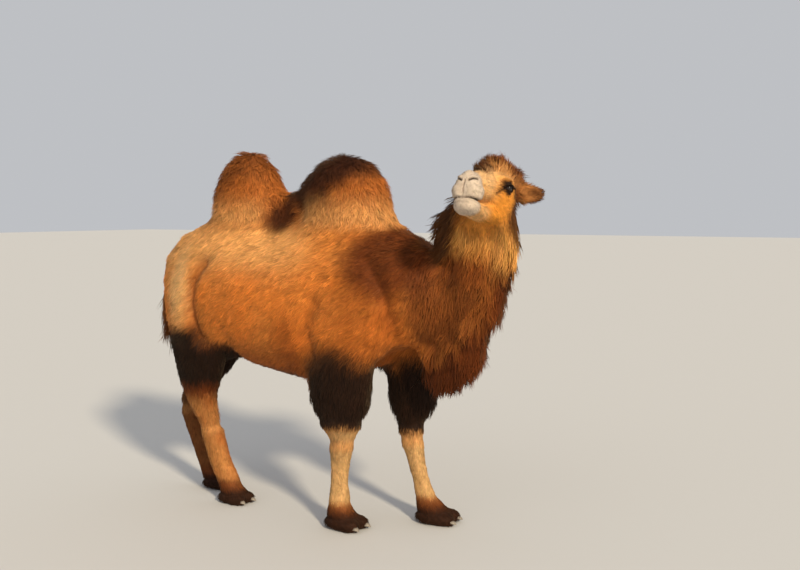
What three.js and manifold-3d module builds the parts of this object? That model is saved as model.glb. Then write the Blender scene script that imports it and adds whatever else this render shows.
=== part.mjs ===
// A two-humped (Bactrian) camel, life size, standing and looking to its right.
// Millimetres. +X is the way the camel faces, +Y its left, +Z up, and it stands on z = 0.
// The solids reach out to the tips of the coat. The animal is one smooth field of rounded
// masses, meshed region by region and parted by thin flat cuts. Long hair is in solids of its own.
import * as THREE from "three";
import { mergeVertices } from "three/addons/utils/BufferGeometryUtils.js";
import Module from "manifold-3d";

const wasm = await Module();
wasm.setup();

// ---------------------------------------------------------------- driving dimensions
const CUT_GAP = 0.5; // between neighbouring solids
const HAIR_GAP = 2; // between a hair solid and the flesh that carries it
const LIMB_BLEND = 70; // how softly limbs run into the trunk
const TRUNK_BLEND = 100;
const MUSCLE_BLEND = 60;
const FACE_BLEND = 30;
const FOOT_BLEND = 36;
const HEAD_AT = [1238, -218, 1780]; // midway between the eyes
const HEAD_YAW = -87; // degrees from straight ahead, towards the camel's right
const HEAD_PITCH = 21; // nose up
const EYE_RADIUS = 22;
const EYE_AT = [2, 96, -2]; // left eye, in the head's own frame
const EYE_SOCKET_GAP = 0.6;
const HIND_FOOT_SCALE = 0.9;

// Mesh spacing along x, y and z.
const CELLS = {
  trunk: [128, 96, 102],
  hump: [92, 76, 84],
  neck: [92, 88, 96],
  limb: [64, 56, 84],
  shank: [42, 38, 72],
  foot: [43, 37, 36],
  head: [28, 31, 27],
  ear: [21, 21, 16],
  hair: [110, 94, 104],
  forelock: [72, 72, 60],
  tail: [40, 40, 88],
};
const HAIR_COLOURS = { forelock: "darkHair", nape_mane: "darkHair", throat_hair: "coat", tail: "coat" };
const COLOURS = {
  coat: 0xa8622c,
  darkHair: 0x3d2214,
  eye: 0x120a06,
  nail: 0x8f877c,
};

// ---------------------------------------------------------------- fields
// A field takes x, y, z and gives about the distance to a surface, negative inside.
const radians = THREE.MathUtils.degToRad;

function smoothUnion(a, b, softness) {
  const overlap = Math.max(softness - Math.abs(a - b), 0) / softness;
  return Math.min(a, b) - (overlap * overlap * softness) / 4;
}

function blend(softness, ...fields) {
  return (x, y, z) => fields.reduce((d, field) => smoothUnion(d, field(x, y, z), softness), Infinity);
}

function carve(softness, from, tool) {
  return (x, y, z) => -smoothUnion(-from(x, y, z), tool(x, y, z), softness);
}

function ellipsoidDistance(px, py, pz, rx, ry, rz) {
  const near = Math.hypot(px / rx, py / ry, pz / rz);
  const slope = Math.hypot(px / (rx * rx), py / (ry * ry), pz / (rz * rz));
  return slope < 1e-9 ? -Math.min(rx, ry, rz) : (near * (near - 1)) / slope;
}

// An ellipsoid of three radii, leaned nose-down about Y and then turned about Z, in degrees.
function mass([cx, cy, cz], [rx, ry, rz], lean = 0, turn = 0) {
  const [cosLean, sinLean] = [Math.cos(radians(lean)), Math.sin(radians(lean))];
  const [cosTurn, sinTurn] = [Math.cos(radians(turn)), Math.sin(radians(turn))];
  return (x, y, z) => {
    const ahead = (x - cx) * cosTurn + (y - cy) * sinTurn;
    const left = (y - cy) * cosTurn - (x - cx) * sinTurn;
    const up = z - cz;
    const along = ahead * cosLean - up * sinLean;
    const above = ahead * sinLean + up * cosLean;
    return ellipsoidDistance(along, left, above, rx, ry, rz);
  };
}

// A tapering limb through stations [x, y, z, depth, width]: depth is its half thickness fore and
// aft or up and down, and width its half thickness from side to side.
const LIMB_STEPS = 3;
function limb(...stations) {
  const path = new THREE.CatmullRomCurve3(stations.map(([x, y, z]) => new THREE.Vector3(x, y, z)));
  const sizes = new THREE.CatmullRomCurve3(stations.map(([, , , d, w]) => new THREE.Vector3(d, w, 0)));
  const steps = (stations.length - 1) * LIMB_STEPS;
  const pieces = [];
  for (let i = 0; i < steps; i++) {
    const [start, end] = [path.getPoint(i / steps), path.getPoint((i + 1) / steps)];
    const along = end.clone().sub(start);
    const [from, to] = [sizes.getPoint(i / steps), sizes.getPoint((i + 1) / steps)];
    pieces.push({ start, along, square: along.lengthSq(), from, to });
  }
  return (x, y, z) => {
    let best = Infinity;
    for (const { start, along, square, from, to } of pieces) {
      const [px, py, pz] = [x - start.x, y - start.y, z - start.z];
      const reach = THREE.MathUtils.clamp((px * along.x + py * along.y + pz * along.z) / square, 0, 1);
      const depth = from.x + (to.x - from.x) * reach;
      const width = from.y + (to.y - from.y) * reach;
      const [qx, qy, qz] = [px - along.x * reach, py - along.y * reach, pz - along.z * reach];
      best = Math.min(best, ellipsoidDistance(qx, qy, qz, depth, width, depth));
    }
    return best;
  };
}

const bothSides = (make) => [make(1), make(-1)];

// ---------------------------------------------------------------- the head, in its own frame
// Forward, left and up from the point midway between the eyes.
const headPlace = new THREE.Matrix4()
  .makeTranslation(...HEAD_AT)
  .multiply(new THREE.Matrix4().makeRotationZ(radians(HEAD_YAW)))
  .multiply(new THREE.Matrix4().makeRotationY(radians(-HEAD_PITCH)));

function inHead(field) {
  const e = headPlace.clone().invert().elements;
  return (x, y, z) =>
    field(
      e[0] * x + e[4] * y + e[8] * z + e[12],
      e[1] * x + e[5] * y + e[9] * z + e[13],
      e[2] * x + e[6] * y + e[10] * z + e[14],
    );
}

function headField() {
  const skull = blend(
    FACE_BLEND * 1.5,
    mass([-70, 0, 18], [118, 92, 92]),
    limb(
      [-60, 0, -8, 92, 84],
      [40, 0, -12, 88, 74],
      [115, 0, -34, 74, 58],
      [185, 0, -52, 62, 52],
      [225, 0, -60, 60, 56],
    ),
    ...bothSides((side) => mass([4, 74 * side, 16], [52, 32, 34])),
    ...bothSides((side) => mass([-50, 56 * side, -72], [92, 46, 80])),
  );
  const muzzle = blend(
    FACE_BLEND,
    mass([208, 0, -78], [60, 66, 66]),
    ...bothSides((side) => mass([236, 30 * side, -104], [46, 40, 44])),
    ...bothSides((side) => mass([224, 30 * side, -32], [44, 28, 36])),
  );
  const jaw = blend(
    FACE_BLEND,
    limb([-70, 0, -108, 62, 70], [20, 0, -136, 46, 56], [110, 0, -160, 36, 44], [190, 0, -172, 32, 46]),
    mass([218, 0, -176], [50, 54, 34]),
  );
  return blend(FACE_BLEND, skull, muzzle, jaw);
}

// ---------------------------------------------------------------- trunk, humps and neck
const trunk = limb(
  [-748, 0, 1285, 184, 140],
  [-690, 0, 1295, 292, 215],
  [-480, 0, 1252, 358, 285],
  [-200, 0, 1196, 408, 328],
  [90, 0, 1166, 430, 338],
  [310, 0, 1202, 380, 316],
  [460, 0, 1262, 308, 292],
  [600, 0, 1268, 268, 258],
  [720, 0, 1258, 238, 208],
);
const humpFront = mass([290, 0, 1640], [290, 192, 364]);
const humpRear = mass([-364, 0, 1655], [244, 182, 382]);
const saddleTuft = mass([-40, 0, 1660], [110, 95, 118]);

const neck = limb(
  [560, 0, 1290, 300, 225],
  [760, 0, 1245, 258, 185],
  [920, -5, 1215, 220, 155],
  [1040, -30, 1250, 176, 136],
  [1105, -65, 1350, 142, 122],
  [1140, -95, 1470, 126, 114],
  [1165, -115, 1590, 118, 108],
  [1185, -130, 1700, 112, 104],
);

const shoulder = (side) =>
  blend(
    MUSCLE_BLEND,
    mass([545, 185 * side, 1200], [240, 128, 260], 20),
    mass([470, 206 * side, 1050], [150, 104, 150]),
  );
const haunch = (side) =>
  blend(
    MUSCLE_BLEND,
    mass([-642, 130 * side, 1150], [215, 112, 250], -10),
    mass([-510, 140 * side, 1270], [200, 130, 200]),
  );

// ---------------------------------------------------------------- legs, feet and tail
const legs = {
  fore_right: limb(
    [500, -200, 1080, 180, 110],
    [425, -205, 940, 172, 116],
    [398, -205, 830, 190, 122],
    [384, -202, 730, 190, 120],
    [380, -195, 655, 160, 106],
    [388, -185, 595, 108, 92],
    [380, -180, 545, 90, 82],
    [376, -174, 490, 76, 68],
    [370, -170, 440, 70, 66],
    [361, -168, 385, 59, 56],
    [355, -168, 290, 50, 47],
    [351, -168, 200, 55, 50],
    [350, -168, 140, 66, 60],
    [358, -168, 75, 70, 70],
  ),
  fore_left: limb(
    [590, 200, 1080, 170, 110],
    [590, 200, 950, 148, 112],
    [592, 195, 850, 150, 116],
    [598, 190, 740, 160, 114],
    [600, 185, 665, 150, 106],
    [592, 180, 600, 108, 90],
    [588, 176, 540, 84, 76],
    [594, 172, 485, 68, 66],
    [603, 170, 430, 66, 64],
    [624, 168, 360, 57, 54],
    [653, 166, 250, 49, 46],
    [682, 165, 165, 55, 50],
    [698, 164, 110, 64, 60],
    [728, 163, 72, 68, 68],
  ),
  hind_right: limb(
    [-670, -150, 1180, 195, 115],
    [-640, -165, 1010, 190, 112],
    [-624, -160, 880, 182, 106],
    [-621, -150, 745, 152, 94],
    [-628, -138, 628, 110, 76],
    [-600, -126, 514, 90, 62],
    [-562, -116, 410, 76, 54],
    [-540, -108, 300, 74, 54],
    [-517, -104, 228, 72, 52],
    [-485, -100, 165, 71, 54],
    [-455, -97, 110, 68, 58],
    [-430, -95, 62, 60, 60],
  ),
  hind_left: limb(
    [-680, 150, 1180, 200, 115],
    [-680, 165, 1000, 175, 112],
    [-710, 155, 860, 142, 102],
    [-780, 140, 740, 112, 86],
    [-862, 126, 640, 92, 68],
    [-928, 114, 550, 80, 58],
    [-938, 110, 480, 74, 54],
    [-906, 106, 395, 68, 50],
    [-864, 103, 300, 66, 47],
    [-822, 101, 200, 64, 47],
    [-790, 100, 125, 62, 52],
    [-738, 100, 62, 60, 60],
  ),
};

const feet = {
  fore_right: { at: [380, -168], size: 1, turn: -6 },
  fore_left: { at: [752, 162], size: 1, turn: 6 },
  hind_right: { at: [-430, -92], size: HIND_FOOT_SCALE, turn: -4 },
  hind_left: { at: [-712, 100], size: HIND_FOOT_SCALE, turn: 4 },
};

// A place on a foot: ahead, left and up from the middle of its pad.
function onFoot({ at: [x, y], size, turn }, ahead, left, up) {
  const [c, s] = [Math.cos(radians(turn)), Math.sin(radians(turn))];
  return [x + (ahead * c - left * s) * size, y + (ahead * s + left * c) * size, up * size];
}

// One broad pad with two toes, parted by a cleft at the front.
const TOE_OUT = 42; // from the middle of the pad to the middle of a toe
const TOE_SPLAY = 6; // degrees
const PAD_HEIGHT = 30;
function footField(foot) {
  const sized = (radii) => radii.map((r) => r * foot.size);
  const toeAt = (side) => onFoot(foot, 62, TOE_OUT * side, PAD_HEIGHT);
  const toe = (side) => mass(toeAt(side), sized([64, 42, 42]), 0, foot.turn + TOE_SPLAY * side);
  const pad = mass(onFoot(foot, 0, 0, PAD_HEIGHT), sized([112, 90, 50]), 0, foot.turn);
  const cleft = mass(onFoot(foot, 122, 0, 34), sized([52, 8, 60]), 0, foot.turn);
  return carve(10, blend(30, pad, toe(1), toe(-1)), cleft);
}

const tailField = limb(
  [-800, -12, 1500, 66, 60],
  [-880, -36, 1405, 52, 50],
  [-916, -56, 1290, 42, 42],
  [-926, -68, 1160, 42, 42],
  [-920, -76, 1030, 46, 44],
  [-900, -80, 900, 16, 14],
);

// ---------------------------------------------------------------- the whole animal
const humps = [humpFront, humpRear, saddleTuft];
const torso = blend(TRUNK_BLEND, trunk, ...humps, neck, ...bothSides(shoulder), ...bothSides(haunch));
const limbs = blend(LIMB_BLEND, torso, ...Object.values(legs));
const body = blend(FOOT_BLEND, limbs, inHead(headField()), ...Object.values(feet).map(footField));

// ---------------------------------------------------------------- long hair
const hair = {
  throat_hair: limb(
    [1258, -105, 1690, 90, 96],
    [1270, -130, 1600, 94, 90],
    [1274, -105, 1490, 94, 92],
    [1226, -75, 1380, 90, 94],
    [1190, -55, 1270, 90, 94],
    [1140, -40, 1160, 94, 94],
    [1090, -25, 1050, 100, 95],
    [1030, -15, 950, 108, 94],
    [960, -5, 872, 114, 90],
    [880, 0, 835, 110, 84],
    [800, 0, 885, 84, 70],
  ),
  nape_mane: limb(
    [1110, -125, 1765, 62, 72],
    [1035, -110, 1685, 92, 78],
    [958, -85, 1602, 104, 80],
    [918, -50, 1530, 90, 84],
    [880, -20, 1470, 64, 92],
  ),
  forelock: inHead(
    blend(FACE_BLEND, mass([-45, 0, 104], [112, 104, 84]), mass([-165, 0, 86], [104, 134, 92])),
  ),
};

// A short ear held out sideways, cupped on the side that faces forward.
const EAR_AT = [-174, 142, 40]; // left ear, in the head's own frame
const EAR_SWEEP = 24; // degrees back from straight out
const EAR_CUP_AHEAD = 28;
function earField(side) {
  const [back, out, up] = EAR_AT;
  const leaf = mass([back, out * side, up], [26, 60, 48], 0, EAR_SWEEP * side);
  const cup = mass([back + EAR_CUP_AHEAD, (out + 2) * side, up], [17, 44, 31], 0, EAR_SWEEP * side);
  return inHead(carve(8, leaf, cup));
}

// ---------------------------------------------------------------- meshing
// Surface nets: one vertex in each grid cell that the surface crosses, at the mean of its edge
// crossings, and one quad across each grid edge that it crosses.
const WELD = 1e-4; // how close two vertices are when they are one
const CELL_CORNERS = [0, 1, 2, 3, 4, 5, 6, 7].map((n) => [n & 1, (n >> 1) & 1, (n >> 2) & 1]);
const CELL_EDGES = [];
for (let corner = 0; corner < 8; corner++) {
  for (const bit of [1, 2, 4]) {
    if (!(corner & bit)) CELL_EDGES.push([corner, corner | bit]);
  }
}

function meshField(field, low, high, cell) {
  const [nx, ny, nz] = high.map((end, axis) => Math.ceil((end - low[axis]) / cell[axis]) + 1);
  const at = (i, j, k) => (k * ny + j) * nx + i;
  const value = new Float64Array(nx * ny * nz);
  const everyCell = (visit, margin) => {
    for (let k = 0; k < nz - margin; k++) {
      for (let j = 0; j < ny - margin; j++) {
        for (let i = 0; i < nx - margin; i++) visit(i, j, k);
      }
    }
  };
  everyCell((i, j, k) => {
    const onRim = i === 0 || j === 0 || k === 0 || i === nx - 1 || j === ny - 1 || k === nz - 1;
    const d = field(low[0] + i * cell[0], low[1] + j * cell[1], low[2] + k * cell[2]);
    value[at(i, j, k)] = onRim ? Math.max(d, 1) : d; // so the surface closes at the grid's rim
  }, 0);

  const position = [];
  const vertexOf = new Int32Array(nx * ny * nz).fill(-1);
  everyCell((i, j, k) => {
    const v = CELL_CORNERS.map(([a, b, c]) => value[at(i + a, j + b, k + c)]);
    const crossed = CELL_EDGES.filter(([a, b]) => v[a] < 0 !== v[b] < 0);
    if (crossed.length === 0) return;
    vertexOf[at(i, j, k)] = position.length / 3;
    [i, j, k].forEach((start, axis) => {
      const sum = crossed.reduce((total, [a, b]) => {
        const [from, to] = [CELL_CORNERS[a][axis], CELL_CORNERS[b][axis]];
        return total + from + ((to - from) * v[a]) / (v[a] - v[b]);
      }, 0);
      position.push(low[axis] + (start + sum / crossed.length) * cell[axis]);
    });
  }, 1);

  const index = [];
  everyCell((i, j, k) => {
    const inside = value[at(i, j, k)] < 0;
    const addQuad = (next, around) => {
      if (inside === next < 0) return;
      const [a, b, c, d] = around.map(([p, q, r]) => vertexOf[at(p, q, r)]);
      if (inside) index.push(a, b, c, a, c, d);
      else index.push(a, c, b, a, d, c);
    };
    addQuad(value[at(i + 1, j, k)], [[i, j - 1, k - 1], [i, j, k - 1], [i, j, k], [i, j - 1, k]]);
    addQuad(value[at(i, j + 1, k)], [[i - 1, j, k - 1], [i - 1, j, k], [i, j, k], [i, j, k - 1]]);
    addQuad(value[at(i, j, k + 1)], [[i - 1, j - 1, k], [i, j - 1, k], [i, j, k], [i - 1, j, k]]);
  }, 1);
  const geometry = new THREE.BufferGeometry();
  geometry.setAttribute("position", new THREE.Float32BufferAttribute(position, 3));
  geometry.setIndex(index);
  return geometry;
}

// The same surface pushed outwards along its normals.
function inflated(geometry, distance) {
  const copy = geometry.clone();
  copy.computeVertexNormals();
  const { position, normal } = copy.attributes;
  const point = new THREE.Vector3();
  const push = new THREE.Vector3();
  for (let i = 0; i < position.count; i++) {
    point.fromBufferAttribute(position, i).addScaledVector(push.fromBufferAttribute(normal, i), distance);
    position.setXYZ(i, point.x, point.y, point.z);
  }
  return copy;
}

function toSolid(geometry) {
  const shape = geometry.clone();
  shape.deleteAttribute("normal");
  shape.deleteAttribute("uv");
  const merged = mergeVertices(shape, WELD);
  const vertProperties = new Float32Array(merged.attributes.position.array);
  const triVerts = new Uint32Array(merged.index.array);
  return new wasm.Manifold(new wasm.Mesh({ numProp: 3, vertProperties, triVerts }));
}

function toGeometry(solid) {
  const { vertProperties, triVerts } = solid.getMesh();
  const geometry = new THREE.BufferGeometry();
  geometry.setAttribute("position", new THREE.Float32BufferAttribute(vertProperties, 3));
  geometry.setIndex(new THREE.Uint32BufferAttribute(triVerts, 1));
  return geometry;
}

function boxGeometry(low, high) {
  const geometry = new THREE.BoxGeometry(...high.map((end, axis) => end - low[axis]));
  return geometry.translate(...high.map((end, axis) => (end + low[axis]) / 2));
}

const without = (solid, ...tools) => tools.reduce((left, tool) => left.subtract(tool), solid);

// The largest body of a cut solid, without the crumbs that a shallow cut can leave.
function mainBody(solid) {
  return solid.decompose().sort((a, b) => b.volume() - a.volume())[0];
}

// ---------------------------------------------------------------- parting the flesh
const FAR = 3000;
const HALF_GAP = CUT_GAP / 2;
const LEG_ROOT = { fore: 915, hind: 935 };
const LEG_JOINT = { fore_right: 455, fore_left: 440, hind_right: 425, hind_left: 470 };
const ANKLE = { fore: 118, hind: 102 };
const HUMP_BASE = 1612;
const HUMP_PARTING = -35;
const NECK_ROOT = 800;
const NECK_PARTING = 1400;

// The half of space behind the head, in the head's own frame: a slanted plane from poll to throat.
const POLL_TILT = 32;
const POLL_BACK = 155;
function behindHead(shift) {
  const slab = boxGeometry([-FAR, -FAR, -FAR], [-POLL_BACK + shift, FAR, FAR]);
  return slab.rotateY(radians(-POLL_TILT)).applyMatrix4(headPlace);
}

// The space under the mouth's line, in the head's own frame.
const MOUTH_TILT = 3;
const MOUTH_LEVEL = -136;
const JAW_BACK = 60;
function underMouth(shift) {
  const slab = boxGeometry([JAW_BACK - shift, -FAR, -FAR], [FAR, FAR, MOUTH_LEVEL + shift]);
  return slab.rotateY(radians(MOUTH_TILT)).applyMatrix4(headPlace);
}

function legSpace(name, shift) {
  const [pair, side] = name.split("_");
  const [near, far] = pair === "fore" ? [190, 960] : [-1150, -335];
  const inner = pair === "fore" ? 60 : 0;
  const [low, high] = [inner - shift, 600];
  const across = side === "left" ? [low, high] : [-high, -low];
  return [[near - shift, across[0], -FAR], [far + shift, across[1], LEG_ROOT[pair] + shift]];
}
const legNames = Object.keys(legs);

// A mesh of the body within a box, and what a few cuts leave of it.
const flesh = {
  trunk: meshField(body, [-1043, -478, 620], [960, 480, 1800], CELLS.trunk),
  humps: meshField(body, [-760, -270, 1490], [760, 270, 2110], CELLS.hump),
  neck: meshField(body, [690, -420, 820], [1420, 260, 1840], CELLS.neck),
  head: meshField(body, [1010, -600, 1500], [1420, 60, 2000], CELLS.head),
};
const mapValues = (table, make) =>
  Object.fromEntries(Object.entries(table).map(([name, value]) => [name, make(value)]));
const fleshSolid = mapValues(flesh, toSolid);

function within(solid, low, high) {
  return mainBody(solid.intersect(toSolid(boxGeometry(low, high))));
}

const parts = {};
function addPart(name, solid, colour, roughness = 0.9) {
  parts[name] = { solid, colour, roughness };
}

function addTrunk() {
  const legCuts = legNames.map((name) => toSolid(boxGeometry(...legSpace(name, HALF_GAP))));
  const whole = without(fleshSolid.trunk, ...legCuts);
  const barrel = within(whole, [-FAR, -FAR, 0], [NECK_ROOT - HALF_GAP, FAR, HUMP_BASE - HALF_GAP]);
  addPart("trunk", barrel, "coat");
  const base = HUMP_BASE + HALF_GAP;
  const front = within(fleshSolid.humps, [HUMP_PARTING + HALF_GAP, -FAR, base], [FAR, FAR, FAR]);
  const rear = within(fleshSolid.humps, [-FAR, -FAR, base], [HUMP_PARTING - HALF_GAP, FAR, FAR]);
  addPart("hump_front", front, "coat");
  addPart("hump_rear", rear, "coat");
}

function addNeck() {
  const behindNeck = toSolid(boxGeometry([-FAR, -FAR, -FAR], [NECK_ROOT + HALF_GAP, FAR, FAR]));
  const neckOnly = without(fleshSolid.neck, behindNeck);
  addPart("neck_lower", within(neckOnly, [-FAR, -FAR, 0], [FAR, FAR, NECK_PARTING - HALF_GAP]), "coat");
  const upper = neckOnly.intersect(toSolid(behindHead(-HALF_GAP)));
  addPart("neck_upper", within(upper, [-FAR, -FAR, NECK_PARTING + HALF_GAP], [FAR, FAR, FAR]), "coat");
}

function eyeball(side, radius) {
  const [ahead, out, up] = EYE_AT;
  const ball = new THREE.SphereGeometry(radius, 10, 7).translate(ahead, out * side, up);
  return ball.applyMatrix4(headPlace);
}

const SIDES = { left: 1, right: -1 };
const EAR_REACH = new THREE.Vector3(110, 110, 90);
function earMesh(side) {
  const [back, out, up] = EAR_AT;
  const middle = new THREE.Vector3(back, out * side, up).applyMatrix4(headPlace);
  const low = middle.clone().sub(EAR_REACH).toArray();
  const high = middle.clone().add(EAR_REACH).toArray();
  return meshField(earField(side), low, high, CELLS.ear);
}
const earMeshes = mapValues(SIDES, earMesh);

function addHead() {
  const sockets = bothSides((side) => toSolid(eyeball(side, EYE_RADIUS + EYE_SOCKET_GAP)));
  const front = without(fleshSolid.head, toSolid(behindHead(HALF_GAP)), ...sockets);
  addPart("head", mainBody(front.subtract(toSolid(underMouth(HALF_GAP)))), "coat");
  addPart("lower_jaw", mainBody(front.intersect(toSolid(underMouth(-HALF_GAP)))), "coat");
  const aroundHead = toSolid(inflated(flesh.head, HAIR_GAP));
  for (const [name, side] of Object.entries(SIDES)) {
    addPart(`eye_${name}`, toSolid(eyeball(side, EYE_RADIUS)), "eye", 0.1);
    addPart(`ear_${name}`, mainBody(toSolid(earMeshes[name]).subtract(aroundHead)), "coat");
  }
}

// The meshes of a leg's three lengths run on past the cuts that part them.
const PAST_CUT = { upper: 70, shank: 60, foot: 50 };
const PAST_SIDE = 40;
const FOOT_REACH = { behind: 200, ahead: 230, across: 160, below: 60 };
function addLeg(name) {
  const [pair] = name.split("_");
  const [low, high] = legSpace(name, -HALF_GAP);
  const [joint, ankle] = [LEG_JOINT[name], ANKLE[pair]];
  const upperMesh = meshField(
    body,
    [low[0] - PAST_SIDE, low[1] - PAST_SIDE, joint - PAST_CUT.upper],
    [high[0] + PAST_SIDE, high[1] + PAST_SIDE, high[2] + PAST_CUT.upper],
    CELLS.limb,
  );
  addPart(`${name}_upper`, within(toSolid(upperMesh), [low[0], low[1], joint + HALF_GAP], high), "coat");

  const shankMesh = meshField(
    body,
    [low[0], low[1], ankle - PAST_CUT.shank],
    [high[0], high[1], joint + PAST_CUT.shank],
    CELLS.shank,
  );
  const [shankLow, shankHigh] = [ankle + HALF_GAP, joint - HALF_GAP];
  const shank = within(toSolid(shankMesh), [low[0], low[1], shankLow], [high[0], high[1], shankHigh]);
  addPart(`${name}_lower`, shank, "coat");

  const foot = feet[name];
  const [x, y] = foot.at;
  const footMesh = meshField(
    body,
    [x - FOOT_REACH.behind, y - FOOT_REACH.across, -FOOT_REACH.below],
    [x + FOOT_REACH.ahead, y + FOOT_REACH.across, ankle + PAST_CUT.foot],
    CELLS.foot,
  );
  const sole = within(toSolid(footMesh), [low[0], low[1], 0], [high[0], high[1], ankle - HALF_GAP]);
  addPart(`${name}_foot`, sole, "darkHair");
  const aroundFoot = toSolid(inflated(footMesh, HAIR_GAP / 4));
  addPart(`${name}_nail_outer`, nailSolid(foot, 1, aroundFoot), "nail", 0.5);
  addPart(`${name}_nail_inner`, nailSolid(foot, -1, aroundFoot), "nail", 0.5);
}

const NAIL_AHEAD = 116;
const NAIL_RADII = [20, 22, 19];
function nailSolid(foot, side, aroundFoot) {
  const nail = new THREE.SphereGeometry(1, 7, 4);
  nail.scale(...NAIL_RADII.map((r) => r * foot.size));
  nail.rotateZ(radians(foot.turn + TOE_SPLAY * side));
  nail.translate(...onFoot(foot, NAIL_AHEAD, TOE_OUT * side, PAD_HEIGHT));
  return mainBody(toSolid(nail).subtract(aroundFoot));
}

const hairMeshes = {
  forelock: meshField(hair.forelock, [1000, -420, 1680], [1420, 120, 2080], CELLS.forelock),
  nape_mane: meshField(hair.nape_mane, [680, -280, 1340], [1260, 180, 1900], CELLS.hair),
  throat_hair: meshField(hair.throat_hair, [660, -300, 660], [1420, 200, 1860], CELLS.hair),
  tail: meshField(tailField, [-1060, -200, 820], [-660, 120, 1620], CELLS.tail),
};

// Each piece of hair gives way to the flesh and ears that carry it, and to the pieces before it.
function addHair() {
  const around = (mesh) => toSolid(inflated(mesh, HAIR_GAP));
  const tools = [...Object.values(flesh), ...Object.values(earMeshes)].map(around);
  for (const [name, mesh] of Object.entries(hairMeshes)) {
    addPart(name, mainBody(without(toSolid(mesh), ...tools)), HAIR_COLOURS[name]);
    tools.push(around(mesh));
  }
}

addTrunk();
addNeck();
addHead();
legNames.forEach(addLeg);
addHair();

// ---------------------------------------------------------------- the scene graph
function buildCamel() {
  const camel = new THREE.Group();
  for (const [name, { solid, colour, roughness }] of Object.entries(parts)) {
    const finish = new THREE.MeshStandardMaterial({ color: COLOURS[colour], roughness, metalness: 0 });
    const mesh = new THREE.Mesh(toGeometry(solid), finish);
    mesh.name = name;
    camel.add(mesh);
  }
  const middle = new THREE.Box3().setFromObject(camel).getCenter(new THREE.Vector3());
  camel.position.set(-middle.x, -middle.y, 0);
  return camel;
}

export default buildCamel();
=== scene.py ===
import math
from contextlib import contextmanager

import bpy
import bmesh
import numpy as np
from mathutils import Matrix, Vector
from mathutils.bvhtree import BVHTree
from mathutils.kdtree import KDTree


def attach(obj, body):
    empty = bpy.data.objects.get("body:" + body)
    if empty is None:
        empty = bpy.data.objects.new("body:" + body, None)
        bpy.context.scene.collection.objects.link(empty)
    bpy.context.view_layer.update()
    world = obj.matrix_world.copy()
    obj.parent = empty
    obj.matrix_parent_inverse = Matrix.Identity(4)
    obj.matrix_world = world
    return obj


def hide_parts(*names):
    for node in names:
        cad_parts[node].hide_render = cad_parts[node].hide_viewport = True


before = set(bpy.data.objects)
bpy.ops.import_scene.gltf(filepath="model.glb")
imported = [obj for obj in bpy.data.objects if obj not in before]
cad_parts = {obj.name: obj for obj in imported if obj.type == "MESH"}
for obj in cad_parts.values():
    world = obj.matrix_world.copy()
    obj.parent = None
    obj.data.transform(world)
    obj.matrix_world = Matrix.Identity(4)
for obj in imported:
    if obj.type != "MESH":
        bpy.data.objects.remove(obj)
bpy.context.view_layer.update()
draw = np.random.default_rng(11)

# ---------------------------------------------------------------- places
# Metres. The camel faces +X, its left is +Y, and it stands on z = 0.
BODY_AT = np.array([-0.20728, 0.09551, 0.0])  # from the middle of the trunk's plan to the floor's origin
HEAD_AT = BODY_AT + [1.238, -0.218, 1.780]  # midway between the eyes
HEAD_YAW = math.radians(-87)
HEAD_PITCH = math.radians(21)
EYE_AT = np.array([2.0, 96.0, -2.0])  # left eye in the head's frame, mm
EYE_RADIUS = 22.0

HEAD_AXES = np.array(
    (Matrix.Rotation(HEAD_YAW, 3, "Z") @ Matrix.Rotation(-HEAD_PITCH, 3, "Y")).transposed()
)  # rows: forward, left and up of the head


def to_head(points):
    """Places in the head's own frame, in mm."""
    return (points - HEAD_AT) @ HEAD_AXES.T * 1000


def from_head(places):
    return places / 1000 @ HEAD_AXES + HEAD_AT


LEGS = ("fore_right", "fore_left", "hind_right", "hind_left")

# Each region of the coat: the nodes it covers, how deep the coat lies on the skin, the length
# and half width of a tuft and the gap between roots (mm), how far a tuft stands up (degrees),
# how much it hangs, how much it bends aside, how strongly tips draw together, and its rings.
REGIONS = {
    "trunk": (["trunk"], 13, 44, 1.8, 7.5, 12, 0.03, 0.20, 0.36, 2),
    "hump": (["hump_front", "hump_rear"], 20, 54, 1.9, 7.6, 27, 0.06, 0.42, 0.5, 2),
    "neck": (["neck_lower", "neck_upper"], 18, 72, 2.2, 8.6, 15, 0.10, 0.26, 0.5, 3),
    "face": (["head", "lower_jaw"], 4, 18, 1.2, 4.7, 11, 0.0, 0.25, 0.3, 2),
    "ear": (["ear_left", "ear_right"], 5, 20, 1.3, 5.0, 26, 0.05, 0.3, 0.3, 2),
    "sleeve": (["fore_right_upper", "fore_left_upper"], 16, 72, 2.2, 8.4, 13, 0.04, 0.20, 0.5, 3),
    "thigh": (["hind_right_upper", "hind_left_upper"], 10, 40, 2.2, 8.4, 16, 0.05, 0.22, 0.4, 2),
    "shank": ([f"{leg}_lower" for leg in LEGS], 2, 22, 1.5, 6.2, 10, 0.0, 0.2, 0.2, 2),
    "foot": ([f"{leg}_foot" for leg in LEGS], 3, 24, 1.5, 6.6, 11, 0.1, 0.35, 0.3, 2),
    "forelock": (["forelock"], 30, 60, 1.8, 6.4, 38, 0.06, 0.4, 0.4, 3),
    "mane": (["nape_mane"], 28, 76, 2.2, 8.4, 24, 0.20, 0.32, 0.5, 3),
    "beard": (["throat_hair"], 24, 100, 2.3, 8.4, 13, 0.14, 0.26, 0.55, 3),
    "tail": (["tail"], 16, 100, 2.4, 8.0, 16, 0.2, 0.3, 0.4, 3),
}
REGION_NAMES = list(REGIONS)
REGION = {name: k for k, name in enumerate(REGION_NAMES)}
DEPTH, LENGTH, WIDTH, GAP, LIFT, HANG, BEND, DRAW, RINGS = range(9)
TABLE = np.array([REGIONS[name][1:] for name in REGION_NAMES], float)


# ---------------------------------------------------------------- small tools
def unit(v):
    return v / np.maximum(np.linalg.norm(v, axis=-1, keepdims=True), 1e-12)


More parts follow.
